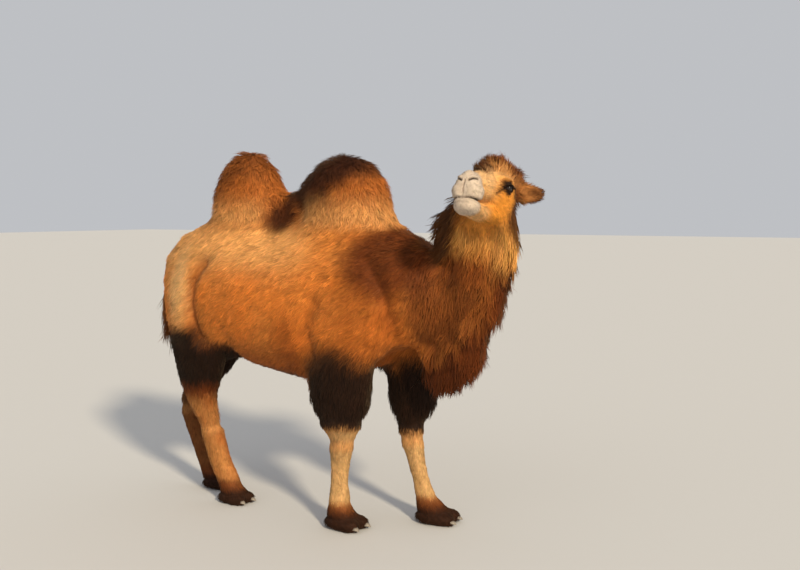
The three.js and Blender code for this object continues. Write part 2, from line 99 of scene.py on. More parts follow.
def ramp(x, start, end):
    """0 before start, 1 after end, and smooth between."""
    t = np.clip((x - start) / (end - start), 0, 1)
    return t * t * (3 - 2 * t)


def spot(points, centre, radii, edge=0.5):
    """1 in the middle of an ellipsoid and 0 past it, soft over its outer part."""
    return 1 - ramp(np.linalg.norm((points - np.array(centre)) / np.array(radii), axis=1), 1 - edge, 1)


HASH = np.array([73856093, 19349663, 83492791])


def lattice(points, size, seed):
    """Smooth noise from -1 to 1 with patches of the given size."""
    q = points / size + seed * 17.31
    base = np.floor(q).astype(np.int64)
    f = q - base
    f = f * f * (3 - 2 * f)
    total = np.zeros(len(points))
    for corner in range(8):
        offset = np.array([corner & 1, corner >> 1 & 1, corner >> 2 & 1])
        h = np.bitwise_xor.reduce((base + offset) * HASH, axis=1) ^ (seed * 2654435)
        h = (h ^ (h >> 13)) * 1274126177
        value = ((h ^ (h >> 16)) & 0xFFFF) / 32767.5 - 1
        total += value * np.prod(np.where(offset, f, 1 - f), axis=1)
    return total


def linear(*srgb):
    c = np.array(srgb) / 255
    return np.where(c < 0.04045, c / 12.92, ((c + 0.055) / 1.055) ** 2.4)


def select_only(obj):
    bpy.ops.object.select_all(action="DESELECT")
    obj.select_set(True)
    bpy.context.view_layer.objects.active = obj


def new_object(name, mesh):
    obj = bpy.data.objects.new(name, mesh)
    bpy.context.collection.objects.link(obj)
    return obj


def mesh_arrays(mesh):
    mesh.calc_loop_triangles()
    co = np.empty(len(mesh.vertices) * 3)
    mesh.vertices.foreach_get("co", co)
    tris = np.empty(len(mesh.loop_triangles) * 3, np.int32)
    mesh.loop_triangles.foreach_get("vertices", tris)
    edges = np.empty(len(mesh.edges) * 2, np.int32)
    mesh.edges.foreach_get("vertices", edges)
    return co.reshape(-1, 3), tris.reshape(-1, 3), edges.reshape(-1, 2)


def set_places(mesh, co):
    mesh.vertices.foreach_set("co", co.ravel())
    mesh.update()


def scatter_add(index, values, count):
    return np.stack([np.bincount(index, values[:, k], count) for k in range(values.shape[1])], axis=1)


def around(values, edges):
    """The mean of each vertex's neighbours."""
    n = len(values)
    both = np.concatenate([edges, edges[:, ::-1]])
    total = scatter_add(both[:, 0], values[both[:, 1]], n)
    return total / np.maximum(np.bincount(both[:, 0], minlength=n), 1)[:, None]


def settle(values, edges, rounds, strength=0.5):
    for _ in range(rounds):
        values = values + (around(values, edges) - values) * strength
    return values


def relax(co, edges, rounds):
    """Smooths a surface and keeps its volume."""
    for _ in range(rounds):
        co = co + (around(co, edges) - co) * 0.5
        co = co - (around(co, edges) - co) * 0.52
    return co


def vertex_normals(co, tris):
    face = np.cross(co[tris[:, 1]] - co[tris[:, 0]], co[tris[:, 2]] - co[tris[:, 0]])
    return unit(sum(scatter_add(tris[:, k], face, len(co)) for k in range(3)))


# ---------------------------------------------------------------- rounded forms
# A form takes places and gives about the distance to its surface, negative inside.
def rounded(q, radii):
    near = np.linalg.norm(q / radii, axis=-1)
    slope = np.maximum(np.linalg.norm(q / np.square(radii), axis=-1), 1e-9)
    return near * (near - 1) / slope


def mass(centre, radii, lean=0.0, turn=0.0):
    placed = Matrix.Rotation(math.radians(turn), 3, "Z") @ Matrix.Rotation(math.radians(lean), 3, "Y")
    axes, centre, radii = np.array(placed), np.array(centre, float), np.array(radii, float)
    return lambda p: rounded((p - centre) @ axes, radii)


def spline(points, steps):
    """Points along a smooth path through the given ones."""
    p = np.array(points, float)
    p = np.concatenate([[2 * p[0] - p[1]], p, [2 * p[-1] - p[-2]]])
    t = np.linspace(0, 1, steps, endpoint=False)[:, None]
    rows = []
    for a, b, c, d in zip(p, p[1:], p[2:], p[3:]):
        rows.append(
            0.5 * (2 * b + (c - a) * t + (2 * a - 5 * b + 4 * c - d) * t**2 + (3 * b - a - 3 * c + d) * t**3)
        )
    return np.concatenate(rows + [p[-2:-1]])


def stretches(p, path):
    """For each stretch of a path: its end stations, each place's offset from its nearest point, and
    how far along the stretch that point is."""
    for start, end in zip(path, path[1:]):
        along = end[:3] - start[:3]
        reach = np.clip((p - start[:3]) @ along / max(along @ along, 1e-9), 0, 1)[:, None]
        yield start, end, p - start[:3] - along * reach, reach


def limb(*stations):
    """A round limb through stations of a place, a depth and a width."""
    path = spline(stations, 3)

    def field(p):
        best = np.full(len(p), np.inf)
        for start, end, offset, reach in stretches(p, path):
            depth = start[3] + (end[3] - start[3]) * reach
            width = start[4] + (end[4] - start[4]) * reach
            best = np.minimum(best, rounded(offset, np.hstack([depth, width, depth])))
        return best

    return field


def blended(d, e, softness):
    return np.minimum(d, e) - np.square(np.maximum(softness - np.abs(d - e), 0)) / (4 * softness)


def merged(softness, *fields):
    def field(p):
        d = fields[0](p)
        for other in fields[1:]:
            d = blended(d, other(p), softness)
        return d

    return field


def carved(softness, form, tool):
    return lambda p: -blended(-form(p), tool(p), softness)


def pair(make):
    return [make(1), make(-1)]


def near_path(p, points, width, steps=5):
    """1 on a path and 0 a few widths away."""
    best = np.full(len(p), np.inf)
    for _, _, offset, _ in stretches(p, spline(points, steps)):
        best = np.minimum(best, np.sum(np.square(offset), axis=1))
    return np.exp(-best / width**2)


# ---------------------------------------------------------------- the head's form, mm in its frame
FACE_COAT = TABLE[REGION["face"], DEPTH]

skull = merged(
    45,
    mass([-70, 0, 18], [118, 92, 92]),
    limb(
        [-60, 0, -8, 92, 84], [40, 0, -12, 88, 74], [115, 0, -34, 74, 58], [185, 0, -56, 56, 46], [222, 0, -64, 50, 42]
    ),
    *pair(lambda side: mass([4, 74 * side, 16], [52, 32, 34])),
    *pair(lambda side: mass([-50, 56 * side, -72], [92, 46, 80])),
)
muzzle = merged(
    24,
    mass([205, 0, -96], [60, 68, 54]),
    mass([226, 0, -42], [46, 27, 36]),
    mass([238, 0, -106], [42, 32, 36]),
    mass([232, 0, -149], [50, 50, 22]),
    *pair(lambda side: mass([232, 32 * side, -108], [52, 41, 42])),
    *pair(lambda side: mass([238, 31 * side, -57], [34, 23, 20])),
)
jaw = merged(
    26,
    limb([-70, 0, -108, 62, 70], [20, 0, -136, 46, 56], [110, 0, -160, 36, 50], [190, 0, -172, 32, 56]),
    mass([216, 0, -179], [54, 61, 33]),
)
EYE_TURN = 33  # degrees that the eyes look ahead of straight out
brows = pair(lambda side: mass([10, 86 * side, 33], [44, 28, 14], 6, -20 * side))
lids = pair(lambda side: mass([EYE_AT[0], EYE_AT[1] * side, EYE_AT[2]], [32, 32, 31]))


def ear_form(side):
    leaf = merged(
        16,
        mass([-158, 106 * side, 34], [32, 36, 44]),
        mass([-172, 142 * side, 40], [22, 56, 44], 0, 24 * side),
        mass([-188, 180 * side, 45], [14, 36, 27], 0, 24 * side),
    )
    return carved(9, leaf, mass([-142, 150 * side, 42], [27, 50, 29], 0, 24 * side))


ears = pair(ear_form)

# Grooves and ridges pressed into the skin on both sides: a path near it, the width, and how deep
# the line goes (mm).
FACE_LINES = {
    "mouth": (
        [(140, 84, -128), (172, 80, -140), (214, 74, -148), (250, 52, -150), (274, 24, -149), (282, 0, -155)], 4.6, 12
    ),
    "philtrum": ([(284, 0, -156), (290, 0, -118), (286, 0, -84), (280, 0, -66)], 4.5, 3.5),
    "nostril": ([(284, 20, -67), (278, 32, -62), (266, 46, -57), (250, 57, -53)], 4.2, 13),
    "nostril flap": ([(276, 26, -48), (262, 42, -43), (246, 54, -40)], 6, -2.5),
    "lip rim": ([(150, 84, -118), (214, 78, -134), (250, 58, -136), (280, 26, -136)], 9, -3),
    "lower lip rim": ([(150, 78, -150), (214, 72, -161), (252, 48, -163), (274, 0, -164)], 8, -3),
    "tear trough": ([(40, 104, -14), (54, 94, -30), (66, 84, -50)], 7, 6),
    "under lid": ([(-20, 124, -30), (8, 126, -38), (38, 112, -32)], 6, 4),
    "over lid": ([(-22, 120, 24), (10, 122, 29), (40, 104, 22)], 5, 5),
    "mouth corner": ([(150, 84, -96), (138, 84, -124), (144, 74, -152)], 10, 9),
    "nose side": ([(60, 78, -30), (120, 62, -52), (180, 62, -64)], 18, 4),
    "cheek bone": ([(30, 98, -44), (-30, 112, -50), (-90, 110, -40)], 16, -5),
    "under cheek": ([(70, 72, -96), (10, 92, -120), (-60, 104, -110)], 22, 4),
    "chin dimple": ([(236, 0, -208), (204, 0, -210)], 14, 4),
}


def mirrored(q):
    return np.column_stack([q[:, 0], np.abs(q[:, 1]), q[:, 2]])


def bare_head(q):
    d = merged(30, skull, muzzle, jaw)(q)
    d = merged(16, lambda p: d, *brows)(q) + FACE_COAT
    d = merged(9, lambda p: d, *[lambda p, lid=lid: lid(p) + 4.5 for lid in lids])(q)
    return merged(22, lambda p: d, *[lambda p, ear=ear: ear(p) + 3 for ear in ears])(q)


def gradient(form, q, step=0.7):
    axes = np.eye(3) * step
    return np.stack([(form(q + a) - form(q - a)) / (2 * step) for a in axes], axis=1)


def step_onto(form, q, least=0.2):
    """The move that takes each place about onto a form's surface."""
    slope = gradient(form, q)
    return -form(q)[:, None] * slope / np.maximum(np.sum(slope**2, axis=1, keepdims=True), least)


def onto(form, q, rounds=6):
    for _ in range(rounds):
        q = q + step_onto(form, q)
    return q


FACE_PATHS = {name: onto(bare_head, np.array(line[0], float)) for name, line in FACE_LINES.items()}

EYE_OUT = unit(np.array([math.sin(math.radians(EYE_TURN)), math.cos(math.radians(EYE_TURN)), 0.04]))
EYE_LEVEL = unit(np.cross([0, 0, 1], EYE_OUT))
EYE_UP = np.cross(EYE_OUT, EYE_LEVEL)
EYE_SLIT = 24.5, 15.0  # half the width and height of the opening between the lids
EYE_SLANT = math.radians(-8)
LIDS_NARROW = 0.25  # how much the opening narrows towards its corners
LIDS_OPEN, LIDS_RIM = 13, 2.2  # how deep the opening is pressed in, and how far its rim stands out


def turned(u, v, angle):
    c, s = math.cos(angle), math.sin(angle)
    return u * c + v * s, v * c - u * s


def across_eye(half):
    """1 at the edge of the lids' opening, measured from the middle of the eye."""
    q = half - EYE_AT
    u, v = turned(q @ EYE_LEVEL, q @ EYE_UP + 1.0, EYE_SLANT)
    pointed = 1 + LIDS_NARROW * np.clip(np.abs(u) / EYE_SLIT[0], 0, 1) ** 2
    e = np.hypot(u / EYE_SLIT[0], v / EYE_SLIT[1] * pointed)
    return np.where(q @ EYE_OUT > 2, e, 9.0)


def face_press(q, normal):
    """How far the lines of the face move a place of the bare head."""
    half = mirrored(q)
    move = np.zeros_like(q)
    for name, (_, width, depth) in FACE_LINES.items():
        move -= normal * (near_path(half, FACE_PATHS[name], width) * depth)[:, None]
    out = EYE_OUT * np.where(q[:, 1:2] < 0, [1, -1, 1], [1, 1, 1])
    e = across_eye(half)
    move -= out * (LIDS_OPEN * (1 - ramp(e, 0.88, 1.06)))[:, None]
    move += out * (LIDS_RIM * ramp(e, 0.95, 1.12) * (1 - ramp(e, 1.15, 1.6)))[:, None]
    return move


# ---------------------------------------------------------------- the feet's form, mm in each foot's frame
FEET = {  # the middle of the pad in the body's frame, its size and its turn in degrees
    "fore_right": ((0.380, -0.168, 0), 1.0, -6),
    "fore_left": ((0.752, 0.162, 0), 1.0, 6),
    "hind_right": ((-0.430, -0.092, 0), 0.9, -4),
    "hind_left": ((-0.712, 0.100, 0), 0.9, 4),
}
TOE_OUT = 42
TOE_SPLAY = 6
CLEFT = [(58, 0, 76), (92, 0, 62), (122, 0, 38), (120, 0, 8)]
CLEFT_DEEP = 15
foot_form = merged(
    22,
    mass([0, 0, 30], [108, 86, 46]),
    *pair(lambda side: mass([62, TOE_OUT * side, 28], [60, 38, 38], 0, TOE_SPLAY * side)),
)


def level_turn(degrees):
    """The axes of a turn about the upright, as rows."""
    c, s = math.cos(math.radians(degrees)), math.sin(math.radians(degrees))
    return np.array([[c, s, 0], [-s, c, 0], [0, 0, 1]])


def in_foot(points, leg):
    """Places ahead, left and up of the middle of a foot's pad, in mm."""
    middle, size, turn = FEET[leg]
    return (points - BODY_AT - middle) @ level_turn(turn).T * 1000 / size


def from_foot(places, leg):
    middle, size, turn = FEET[leg]
    return places * size / 1000 @ level_turn(turn) + BODY_AT + middle


# ---------------------------------------------------------------- the skin
VOXEL = 0.016
SWELL = 0.006  # hanging solids are swollen by this, so that they join what carries them
FLESH = [node for name in REGION_NAMES for node in REGIONS[name][0]]
HANGING = [node for name in ("forelock", "mane", "beard", "tail", "ear") for node in REGIONS[name][0]]


def loose_copy(name, nodes):
    """One mesh object holding copies of the named solids, with their doubles merged."""
    shape = bmesh.new()
    for node in nodes:
        part = bmesh.new()
        part.from_mesh(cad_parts[node].data)
        bmesh.ops.remove_doubles(part, verts=part.verts, dist=1e-6)
        part.normal_update()
        if node in HANGING:
            for vert in part.verts:
                vert.co += vert.normal * SWELL
        grown = bpy.data.meshes.new(node + "_grown")
        part.to_mesh(grown)
        part.free()
        shape.from_mesh(grown)
        bpy.data.meshes.remove(grown)
    mesh = bpy.data.meshes.new(name)
    shape.to_mesh(mesh)
    shape.free()
    obj = new_object(name, mesh)
    select_only(obj)
    return obj


@contextmanager
def edited(mesh):
    """A mesh opened for bmesh operators, and written back after them."""
    shape = bmesh.new()
    shape.from_mesh(mesh)
    shape.verts.ensure_lookup_table()
    shape.edges.ensure_lookup_table()
    yield shape
    shape.to_mesh(mesh)
    shape.free()


def keep_largest(mesh):
    """Deletes every loose shell of a mesh but the largest."""
    with edited(mesh) as shape:
        left, shells = set(shape.verts), []
        while left:
            shell, front = set(), {next(iter(left))}
            while front:
                shell |= front
                front = {edge.other_vert(v) for v in front for edge in v.link_edges} - shell
            left -= shell
            shells.append(shell)
        for shell in sorted(shells, key=len)[:-1]:
            bmesh.ops.delete(shape, geom=list(shell), context="VERTS")


def refine(mesh, wanted):
    """Halves the edges that join two wanted vertices."""
    with edited(mesh) as shape:
        edges = [e for e in shape.edges if wanted[e.verts[0].index] and wanted[e.verts[1].index]]
        bmesh.ops.subdivide_edges(shape, edges=edges, cuts=1, use_grid_fill=True)
    return mesh_arrays(mesh)


def tree_of(nodes):
    verts, faces = [], []
    for node in nodes:
        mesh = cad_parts[node].data
        start = len(verts)
        verts += [v.co.copy() for v in mesh.vertices]
        faces += [[start + i for i in f.vertices] for f in mesh.polygons]
    return BVHTree.FromPolygons(verts, faces)


trees = {name: tree_of(REGIONS[name][0]) for name in REGION_NAMES}


def distance_to(name, co, reach=0.12):
    tree = trees[name]
    found = (tree.find_nearest(Vector(p), reach) for p in co)
    return np.array([reach if hit[3] is None else hit[3] for hit in found])


# Hair that hangs free of the neck has flesh behind it: a few balls fill the hollows before the
# whole is remeshed.
FILLERS = [
    ((0.840, 0.000, 0.960), 0.100),
    ((0.900, 0.000, 0.960), 0.110),
    ((0.980, -0.010, 1.010), 0.120),
    ((1.060, -0.040, 1.110), 0.110),
    ((0.990, -0.060, 1.480), 0.085),
    ((1.020, -0.080, 1.545), 0.090),
    ((1.070, -0.100, 1.630), 0.085),
]
HEAD_FILLERS = [  # on both sides, in the head's mm
    ((-140, 92, 26), 0.044),
    ((-158, 110, 34), 0.034),
    ((-172, 142, 40), 0.024),
    ((-88, 46, -150), 0.050),
]
skin = loose_copy("skin", FLESH)
bpy.ops.object.mode_set(mode="EDIT")
fillers = [(BODY_AT + centre, radius) for centre, radius in FILLERS]
for (ahead, out, up), radius in HEAD_FILLERS:
    fillers += [(from_head(np.array([ahead, out * side, up])), radius) for side in (-1, 1)]
for centre, radius in fillers:
    bpy.ops.mesh.primitive_uv_sphere_add(segments=24, ring_count=16, radius=radius, location=centre)
bpy.ops.object.mode_set(mode="OBJECT")
remesh = skin.modifiers.new("remesh", "REMESH")
remesh.mode = "VOXEL"
remesh.voxel_size = VOXEL
remesh.adaptivity = 0
bpy.ops.object.modifier_apply(modifier="remesh")
keep_largest(skin.data)

co, tris, edges = mesh_arrays(skin.data)
NEAR_HEAD = 0.03
near_head = np.minimum(distance_to("face", co), distance_to("ear", co)) < NEAR_HEAD
set_places(skin.data, relax(co, edges, 4))

# The head, feet and lower legs get a finer mesh, and the face the finest.
FINER_WITHIN = {"face": 0.025, "ear": 0.02, "foot": 0.02, "shank": 0.012}
co, tris, edges = refine(skin.data, near_head)
set_places(skin.data, relax(co, edges, 1))
wanted = [distance_to(name, co, 0.05) < reach for name, reach in FINER_WITHIN.items()]
co, tris, edges = refine(skin.data, np.any(wanted, axis=0))
co = relax(co, edges, 1)
set_places(skin.data, co)
q = mirrored(to_head(co))
wanted = [near_path(q, FACE_PATHS[name], 11) > 0.3 for name in ("mouth", "nostril", "philtrum")]
wanted.append(np.linalg.norm((q - [10, 108, -4]) / [50, 36, 40], axis=1) < 1)
co, tris, edges = refine(skin.data, np.any(wanted, axis=0))
q = mirrored(to_head(co))
co, tris, edges = refine(skin.data, (across_eye(q) < 1.5) | (near_path(q, FACE_PATHS["nostril"], 6) > 0.3))

# How far each vertex belongs to each region.
REGIONS_BLEND = 0.022  # how far one region's looks run into the next
gap_to = np.stack([distance_to(name, co) for name in REGION_NAMES], axis=1)
share = np.exp(-np.square(gap_to / REGIONS_BLEND)) + 1e-9
share /= share.sum(axis=1, keepdims=True)
near = np.argmin(gap_to, axis=1)


def belongs(*names):
    """How far each vertex belongs to the named regions together."""
    return share[:, [REGION[name] for name in names]].sum(axis=1)


def hair_end(co):
    """The height where the long hair of each foreleg ends."""
    return np.where(co[:, 1] < BODY_AT[1], 0.545, 0.475)


# The face and ears settle onto the head's form.
hairy = [REGION[name] for name in ("forelock", "mane", "beard", "neck")]
on_head = np.where(near == REGION["ear"], 1, ramp(gap_to[:, hairy].min(axis=1), 0.006, 0.03))
on_head *= np.isin(near, [REGION["face"], REGION["ear"]])
on_head = settle(on_head[:, None], edges, 4)[:, 0]
moved = np.flatnonzero(on_head > 0.01)
LONGEST_STEP = 9  # mm in a round


def settle_head(co, rounds):
    for _ in range(rounds):
        q = to_head(co[moved])
        step = step_onto(bare_head, q, 0.15)
        step *= np.minimum(1, LONGEST_STEP / np.maximum(np.linalg.norm(step, axis=1, keepdims=True), 1e-6))
        co[moved] += (from_head(q + step) - co[moved]) * on_head[moved, None]
        normal = vertex_normals(co, tris)
        slide = around(co, edges) - co
        slide -= np.sum(slide * normal, axis=1, keepdims=True) * normal
        co[moved] += 0.5 * slide[moved] * on_head[moved, None]
    return co


# Everywhere else the skin lies under the coat by its depth.
SLEEVE_DEPTH = 14  # mm that the coat is thinner below a sleeve
depth = settle(share @ TABLE[:, DEPTH, None], edges, 12)
height = co[:, 2]
depth[:, 0] -= belongs("sleeve") * SLEEVE_DEPTH * (1 - ramp(height, hair_end(co), hair_end(co) + 0.06))
outward = vertex_normals(settle(co, edges, 3), tris)
co = co - outward * depth / 1000 * (1 - on_head[:, None])
body = (1 - on_head) * ramp(depth[:, 0], 10, 18)
co = settle(co, edges, 4, 0.5 * body[:, None])
co = settle_head(co, 6)
border = np.clip(4 * on_head * (1 - on_head), 0, 1)
co = settle(co, edges, 10, 0.6 * border[:, None])
q = to_head(co[moved])
LINE_REACH = {"mouth": 4.5, "nostril": 5.5, "philtrum": 4, "tear trough": 11}  # mm, for colour and hair
line_at = {name: np.zeros(len(co)) for name in LINE_REACH}
for name, width in LINE_REACH.items():
    line_at[name][moved] = near_path(mirrored(q), FACE_PATHS[name], width)
co[moved] += (from_head(q + face_press(q, unit(gradient(bare_head, q)))) - co[moved]) * on_head[moved, None]
# The joins between one region of the legs and the next are smoothed over.
on_legs = belongs("sleeve", "thigh", "shank", "foot")
seam = ramp(1 - share.max(axis=1), 0.04, 0.3) * ramp(on_legs, 0.8, 1.0) * ramp(height, 0.1, 0.14)
co = settle(co, edges, 14, 0.6 * seam[:, None])

# The feet settle onto a pad with two toes parted by a cleft.
FOOT_REACH = 210  # mm round the middle of the pad
FOOT_TOP, FOOT_FULL = 76, 48  # above the one nothing moves, and below the other all of it
for leg in LEGS:
    q = in_foot(co, leg)
    mine = np.flatnonzero((np.hypot(q[:, 0], q[:, 1]) < FOOT_REACH) & (q[:, 2] < FOOT_TOP))
    q = q[mine]
    hold = ramp(-q[:, 2], -FOOT_TOP, -FOOT_FULL)[:, None]
    for _ in range(5):
        co[mine] = from_foot(q + step_onto(foot_form, q) * hold, leg)
        co[mine] += (around(co, edges)[mine] - co[mine]) * 0.4 * hold
        q = in_foot(co[mine], leg)
    q -= unit(gradient(foot_form, q)) * near_path(q, CLEFT, 8)[:, None] * CLEFT_DEEP * hold
    co[mine] = from_foot(q, leg)
SOLE = 0.002  # the skin's lowest height, just off the ground
co[:, 2] = np.maximum(co[:, 2], SOLE)

# The humps' sides stand steep over the hollow between them and over the croup: a place, its
# reach, and how far ahead it moves.
HUMP_MOVES = [
    ((0.05, 0, 1.67), (0.14, 0.30, 0.13), 0.075),
    ((0.06, 0, 1.86), (0.12, 0.30, 0.10), -0.022),
    ((-0.60, 0, 1.66), (0.12, 0.30, 0.12), 0.032),
]
for centre, reach, ahead_by in HUMP_MOVES:
    co[:, 0] += spot(co - BODY_AT, centre, reach, 0.9) * ahead_by

# Creases part the haunch and the shoulder from the barrel and the neck: a path, its width and
# its depth.
BODY_CREASES = [
    ([(-0.50, 0.38, 1.46), (-0.57, 0.34, 1.28), (-0.58, 0.31, 1.10), (-0.53, 0.28, 0.95)], 0.045, 0.042),
    ([(0.58, 0.26, 1.44), (0.68, 0.23, 1.24), (0.70, 0.20, 1.04)], 0.050, 0.036),
    ([(0.30, 0.40, 1.20), (0.24, 0.38, 1.04), (0.26, 0.34, 0.92)], 0.050, 0.024),
]
DEEPEST_CREASE = 0.036
crease = np.zeros(len(co))
for points, width, drop in BODY_CREASES:
    path = [trees["trunk"].find_nearest(Vector(BODY_AT + point))[0] for point in points]
    crease += near_path(mirrored(co - BODY_AT), np.array(path) - BODY_AT, width) * drop
co -= outward * (crease * (1 - on_head))[:, None]
set_places(skin.data, co)
for polygon in skin.data.polygons:
    polygon.use_smooth = True

# ---------------------------------------------------------------- markings
# Skin and coat share these colours, which depend only on the place on the animal.
TAWNY = linear(226, 138, 62)
ORANGE = linear(226, 118, 34)
PALE_TAWNY = linear(240, 176, 106)
CREAM = linear(244, 204, 142)
CHESTNUT = linear(146, 70, 22)
RUSSET = linear(102, 49, 17)
UMBER = linear(72, 34, 12)
TAN = linear(184, 122, 66)
SOOT = linear(40, 23, 13)
SAND = linear(228, 176, 116)
LEG_SAND = linear(208, 162, 106)
BRIDGE = linear(226, 180, 126)
GOLD = linear(232, 150, 56)
WHITISH = linear(197, 178, 158)
BEARD_TIPS = linear(252, 180, 94)
HUMPS_MEET = -0.04  # metres along the body


def crown_of(x):
    """Where along the back the nearer hump's crown is."""
    return np.where(x > HUMPS_MEET, 0.29, -0.364)


def crest_of(q):
    """The ridge of longer hair that runs from the forelock down the forehead."""
    x, y, z = q.T
    return (1 - ramp(np.abs(y), 20, 46)) * ramp(z + 0.55 * x, 56, 76) * (1 - ramp(x, 126, 158))


def ear_base(q):
    """1 where long dark hair lies round the root of an ear."""
    return spot(mirrored(q), (-146, 130, 16), (104, 60, 130), 0.4)


def markings(co, share, crease_shade):
    x, y, z = (co - BODY_AT).T
    half = mirrored(to_head(co))
    fx, _, fz = half.T
    trunk, hump, neck, face, ear, sleeve, thigh, shank, foot, forelock, mane, beard, tail = share.T
    patch = lattice(co, 0.16, 1) * 0.6 + lattice(co, 0.07, 2) * 0.4
    colour = np.tile(TAWNY, (len(co), 1))

    def paint(target, amount):
        nonlocal colour
        amount = np.clip(amount, 0, 1)[:, None]
        colour = colour * (1 - amount) + target * amount

    def on_body(*form):
        return spot(np.c_[x, np.abs(y), z], *form)

    # trunk
    paint(PALE_TAWNY, ramp(z, 1.22, 1.46) * 0.8 * trunk * ramp(-x, -0.35, 0.0))
    paint(ORANGE, trunk * (0.35 + 0.3 * patch) * (1 - ramp(z, 1.3, 1.45)))
    # Painted shade: the barrel darkens towards its underside, which turns away from the light.
    paint(CHESTNUT, ramp(-z, -1.02, -0.80) * 0.8 * trunk)
    paint(UMBER, ramp(-z, -0.86, -0.76) * 0.9 * trunk)
    paint(CHESTNUT, on_body((0.12, 0.3, 0.98), (0.16, 0.4, 0.28), 0.9) * 0.6)
    # The pale band along the front of the haunch is partly pale hair and partly a painted highlight, painted stronger
    # on the near, right side.
    pale_hip_and_highlight = 0.95 - 0.6 * ramp(y, -0.05, 0.05)
    paint(PALE_TAWNY, on_body((-0.68, 0.22, 1.22), (0.15, 0.3, 0.42), 0.8) * pale_hip_and_highlight)
    paint(CREAM, on_body((-0.66, 0.25, 1.28), (0.11, 0.32, 0.29), 0.8) * pale_hip_and_highlight * 0.4)
    # Painted shade: the creases that part the haunch and the shoulder from the barrel are darkened.
    paint(CHESTNUT, trunk * crease_shade * 0.6)
    paint(CHESTNUT, trunk * ramp(x, 0.3, 0.55) * 0.45)
    # The dark patch over the withers and shoulder is partly dark reddish hair and partly the painted shadow that the
    # head and neck cast on it.
    paint(RUSSET, on_body((0.66, 0.12, 1.42), (0.30, 0.42, 0.26)) * 0.95)
    paint(SOOT, on_body((0.40, 0.24, 0.88), (0.24, 0.3, 0.19), 0.7) * 0.95)
    # humps
    crown = ramp(z + 0.05 * patch + 0.45 * (crown_of(x) - x), 1.76, 1.90)
    paint(CHESTNUT, hump * 0.6)
    paint(UMBER, hump * crown * np.where(x > HUMPS_MEET, 1.0, 0.5))
    paint(UMBER, on_body((0.16, 0.10, 1.84), (0.24, 0.32, 0.22), 0.6) * 0.95)
    paint(SOOT, hump * crown * np.where(x > HUMPS_MEET, 0.35, 0))
    paint(PALE_TAWNY, hump * ramp(-z, -1.82, -1.64) * 0.75 * ramp(np.abs(x - HUMPS_MEET), 0.1, 0.2))
    paint(UMBER, on_body((-0.05, 0, 1.64), (0.19, 0.26, 0.15)) * 0.95)
    # neck, mane, beard and forelock
    paint(RUSSET, neck * 0.85)
    paint(CHESTNUT, neck * ramp(z, 1.3, 1.52) * 0.55)
    paint(GOLD, neck * ramp(z + 0.05 * patch, 1.44, 1.66) * 0.75)
    paint(RUSSET, beard)
    paint(CHESTNUT, beard * ramp(patch, -0.2, 0.5) * 0.5)
    paint(BEARD_TIPS, beard * ramp(z + 0.07 * patch, 1.36, 1.6))
    paint(BEARD_TIPS, neck * ramp(z + 0.06 * patch, 1.46, 1.62) * 0.8)
    paint(UMBER, beard * ramp(-z, -1.0, -0.85) * 0.6)
    # The mane's dark colour is partly its dark hair and partly painted shade.
    paint(SOOT, mane * 0.9)
    paint(UMBER, mane * ramp(patch, 0, 0.5) * 0.5)
    paint(RUSSET, forelock)
    paint(SOOT, forelock * 0.3)
    paint(CHESTNUT, forelock * ramp(patch, 0, 0.7) * 0.35)
    # face
    paint(GOLD, face)
    paint(SAND, face * ramp(fx, 20, 110) * 0.9)
    paint(SAND, face * ramp(fz, 20, 60))
    paint(BRIDGE, face * ramp(fx, 50, 140) * ramp(fz, -60, -20) * 0.8)
    paint(WHITISH, face * ramp(fx, 168, 214))
    paint(CHESTNUT, face * spot(half, (140, 70, -128), (36, 30, 44), 0.9) * 0.6)
    paint(CHESTNUT, face * ramp(-fx, 40, 120) * 0.8)
    # Behind the head the colour is partly dark nape hair and partly painted shade.
    nape = spot(half, (-152, 86, -15), (112, 116, 190), 0.45)
    paint(UMBER, np.clip(face + neck + beard, 0, 1) * nape * 0.9)
    paint(RUSSET, face * crest_of(half))
    paint(SOOT, face * crest_of(half) * 0.3)
    paint(UMBER, face * (1 - ramp(across_eye(half), 2.1, 3.2)) * 0.75)
    paint(SOOT, face * (1 - ramp(across_eye(half), 1.6, 2.3)))
    # Painted shade darkens the philtrum groove and the mouth and nostril slits; the tear streak below the eye is a
    # real dark stain.
    paint(UMBER, face * line_at["philtrum"] * 0.5)
    for name in ("tear trough", "mouth", "nostril"):
        paint(SOOT, face * line_at[name] * 0.95)
    paint(TAN, ear)
    paint(UMBER, ear * ramp(-fx, 158, 180) * 0.8)
    paint(UMBER, (face + neck + ear * 0.25) * ear_base(half) * 0.9)
    # legs
    end = hair_end(co)
    in_sleeve = ramp(z + 0.02 * patch, end - 0.02, end + 0.03)
    paint(SOOT, sleeve * in_sleeve)
    paint(ORANGE, sleeve * ramp(z + 0.03 * patch, 0.99, 1.08) * 0.8)
    paint(LEG_SAND, sleeve * (1 - in_sleeve))
    paint(TAN, thigh)
    paint(CHESTNUT, thigh * ramp(patch + 2 * (z - 0.5), -0.3, 0.4) * 0.7)
    paint(RUSSET, thigh * ramp(z, 0.58, 0.68))
    # Partly dark hair and partly the painted shadow that the belly casts on the thigh and the back of the haunch.
    thigh_dark_and_shadow = ramp(z + 0.03 * patch, 0.66, 0.74) * (1 - ramp(z + 0.05 * patch, 0.97, 1.09))
    paint(SOOT * 0.7, np.clip(thigh + trunk * ramp(-x, 0.5, 0.6), 0, 1) * thigh_dark_and_shadow)
